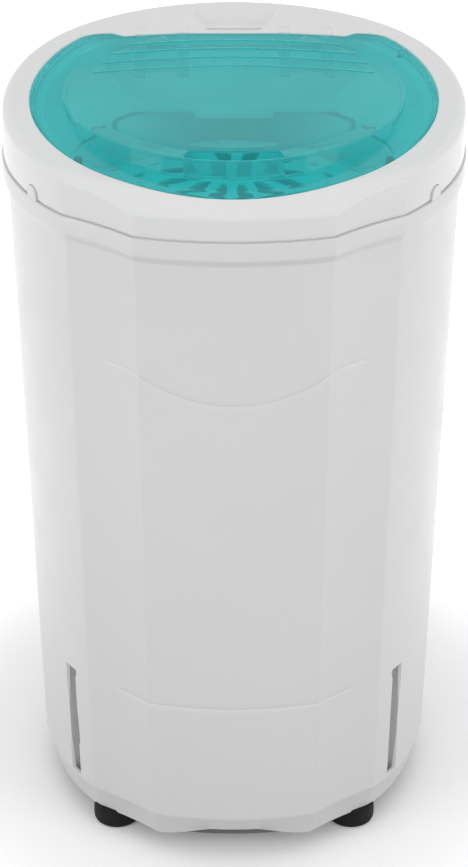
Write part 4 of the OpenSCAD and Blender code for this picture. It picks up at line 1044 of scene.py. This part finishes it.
# %% [markdown]
# ## Pieces seen through the lid
# The splash guard, the balance ring, the domed plate and the feet have the right
# CAD shape but knife-sharp edges. A copy of each is welded, its flat regions are
# merged into single faces, and every edge sharper than 30 degrees gets a small
# round. That keeps the exact place of each hole and adds what moulding gives.

# %% Softened copies of CAD nodes
def softened(node, name, width, segments=2, limit=0.6, degrees=30):
    bm = bmesh.new()
    bm.from_mesh(frame["nodes"][node].data)
    bmesh.ops.remove_doubles(bm, verts=bm.verts, dist=2e-6)
    bmesh.ops.dissolve_limit(bm, angle_limit=math.radians(limit), use_dissolve_boundaries=False,
                             verts=bm.verts, edges=bm.edges)
    if width:
        bevel_sharp(bm, width, segments, degrees)
    return new_piece(name, bm, sharp=35)


def soften_all(rows):
    for node, name, body, slot, width in rows:
        dressed(softened(node, name, width), body, finishes[slot], slot, node)


soften_all([
    ("splash_guard", "splash_guard_soft", "body", "guard_white", 0.6),
    ("balance_ring", "balance_ring_soft", "spinner", "basket_white", 0.6),
    ("inner_plate", "inner_plate_soft", "plate", "plate_white", 0.35),
    ("drain_spout", "drain_spout_soft", "body", "spout_grey", 0.5),
    ("cord_gland", "cord_gland_soft", "body", "rubber_black", 0.6),
])

# %% [markdown]
# The four feet are plump rubber pads with a rounded lower edge and a hollow for
# the screw. Rings are stacked about the drum axis as before, and the finished pad
# is moved to its place under the cabinet.

# %% Rubber feet
FOOT_RING, FOOT_ANGLES = 142.0, {"front_left": -45, "front_right": 45,
                                 "rear_left": -135, "rear_right": 135}
FOOT_ROWS = [(6.0, 6.0), (6.3, 0.6), (7.0, 0.1), (14.0, 0.0), (17.2, 0.0), (18.5, 0.35),
             (19.4, 1.2), (19.9, 2.6), (20.0, 5.0), (19.9, 9.0), (19.7, 14.0), (19.3, 17.6),
             (18.9, 18.6), (18.1, 19.0), (6.0, 19.0)]
PAD_ANGLES = [-180 + 360 * i / 96 for i in range(96)]

for corner, angle in FOOT_ANGLES.items():
    pad = ringed([steady(r, z) for r, z in FOOT_ROWS], angles=PAD_ANGLES)
    shift = place(FOOT_RING, angle, 0.0) - place(0.0, 0.0, 0.0)
    bmesh.ops.translate(pad, vec=shift, verts=pad.verts)
    dressed(new_piece(f"foot_{corner}_pad", pad), "body", finishes["rubber_black"],
            "rubber_black", f"foot_{corner}")

# %% [markdown]
# ## Floor, backdrop and light
# The floor is pale and matt. Camera rays, and rays that a glossy or clear surface
# sends on, see it white, while light that bounces off it to the dryer comes from a
# quieter grey, so that the skirt's underside stays in shade. The shadow stays soft.
# Two large lights stand at the sides and one hangs above, as in a product studio.

# %% Floor
def seen_ray(nodes, links):
    rays = nodes.new("ShaderNodeLightPath")
    first, second = math_node(nodes, "MAXIMUM"), math_node(nodes, "MAXIMUM")
    links.new(rays.outputs["Is Camera Ray"], first.inputs[0])
    links.new(rays.outputs["Is Glossy Ray"], first.inputs[1])
    links.new(first.outputs["Value"], second.inputs[0])
    links.new(rays.outputs["Is Transmission Ray"], second.inputs[1])
    return second.outputs["Value"]


def floor_material():
    material, nodes, links = blank("studio floor")
    shader = nodes["Principled BSDF"]
    shader.inputs["Roughness"].default_value = 0.9
    shader.inputs["Specular IOR Level"].default_value = 0.0
    seen = seen_ray(nodes, links)
    links.new(two_tones(nodes, links, seen, grey(0.45), grey(1.0), 0.0, 1.0),
              shader.inputs["Base Color"])
    shader.inputs["Emission Color"].default_value = (1.0, 1.0, 1.0, 1.0)
    where = nodes.new("ShaderNodeTexCoord")
    reach = nodes.new("ShaderNodeVectorMath")
    reach.operation = "LENGTH"
    fill = nodes.new("ShaderNodeMapRange")
    fill.interpolation_type = "SMOOTHSTEP"
    fill.inputs["From Min"].default_value = 0.2
    fill.inputs["From Max"].default_value = 0.55
    fill.inputs["To Min"].default_value = 0.09
    fill.inputs["To Max"].default_value = 1.0
    strength = math_node(nodes, "MULTIPLY")
    links.new(where.outputs["Object"], reach.inputs[0])
    links.new(reach.outputs["Value"], fill.inputs["Value"])
    links.new(fill.outputs["Result"], strength.inputs[0])
    links.new(seen, strength.inputs[1])
    links.new(strength.outputs["Value"], shader.inputs["Emission Strength"])
    return material


floor_mesh = bmesh.new()
bmesh.ops.create_circle(floor_mesh, cap_ends=True, segments=96, radius=6.0)
floor = new_piece("floor", floor_mesh, turn=False)
floor.data.materials.append(floor_material())

# %% World and lamps
SKY_LEVEL = 0.65
world = bpy.data.worlds.new("studio")
bpy.context.scene.world = world
world.use_nodes = True
world_nodes, world_links = world.node_tree.nodes, world.node_tree.links
sky = world_nodes["Background"]
sky.inputs["Color"].default_value = (1.0, 1.0, 1.0, 1.0)
world_links.new(between(world_nodes, world_links, seen_ray(world_nodes, world_links),
                        SKY_LEVEL, 1.0), sky.inputs["Strength"])


def soft_light(name, where, towards, size, power):
    data = bpy.data.lights.new(name, "AREA")
    data.shape = "RECTANGLE"
    data.size, data.size_y = size
    data.energy = power
    lamp = bpy.data.objects.new(name, data)
    lamp.location = where
    lamp.rotation_euler = (Vector(towards) - Vector(where)).to_track_quat("-Z", "Y").to_euler()
    bpy.context.scene.collection.objects.link(lamp)
    return lamp


soft_light("left softbox", (-1.95, -1.3, 0.85), (0.0, 0.0, 0.3), (0.9, 1.6), 15.0)
soft_light("right softbox", (1.95, -1.3, 0.85), (0.0, 0.0, 0.3), (0.9, 1.6), 15.0)
soft_light("top softbox", (0.0, 0.1, 2.2), (0.0, 0.0, 0.5), (1.6, 1.2), 4.0)
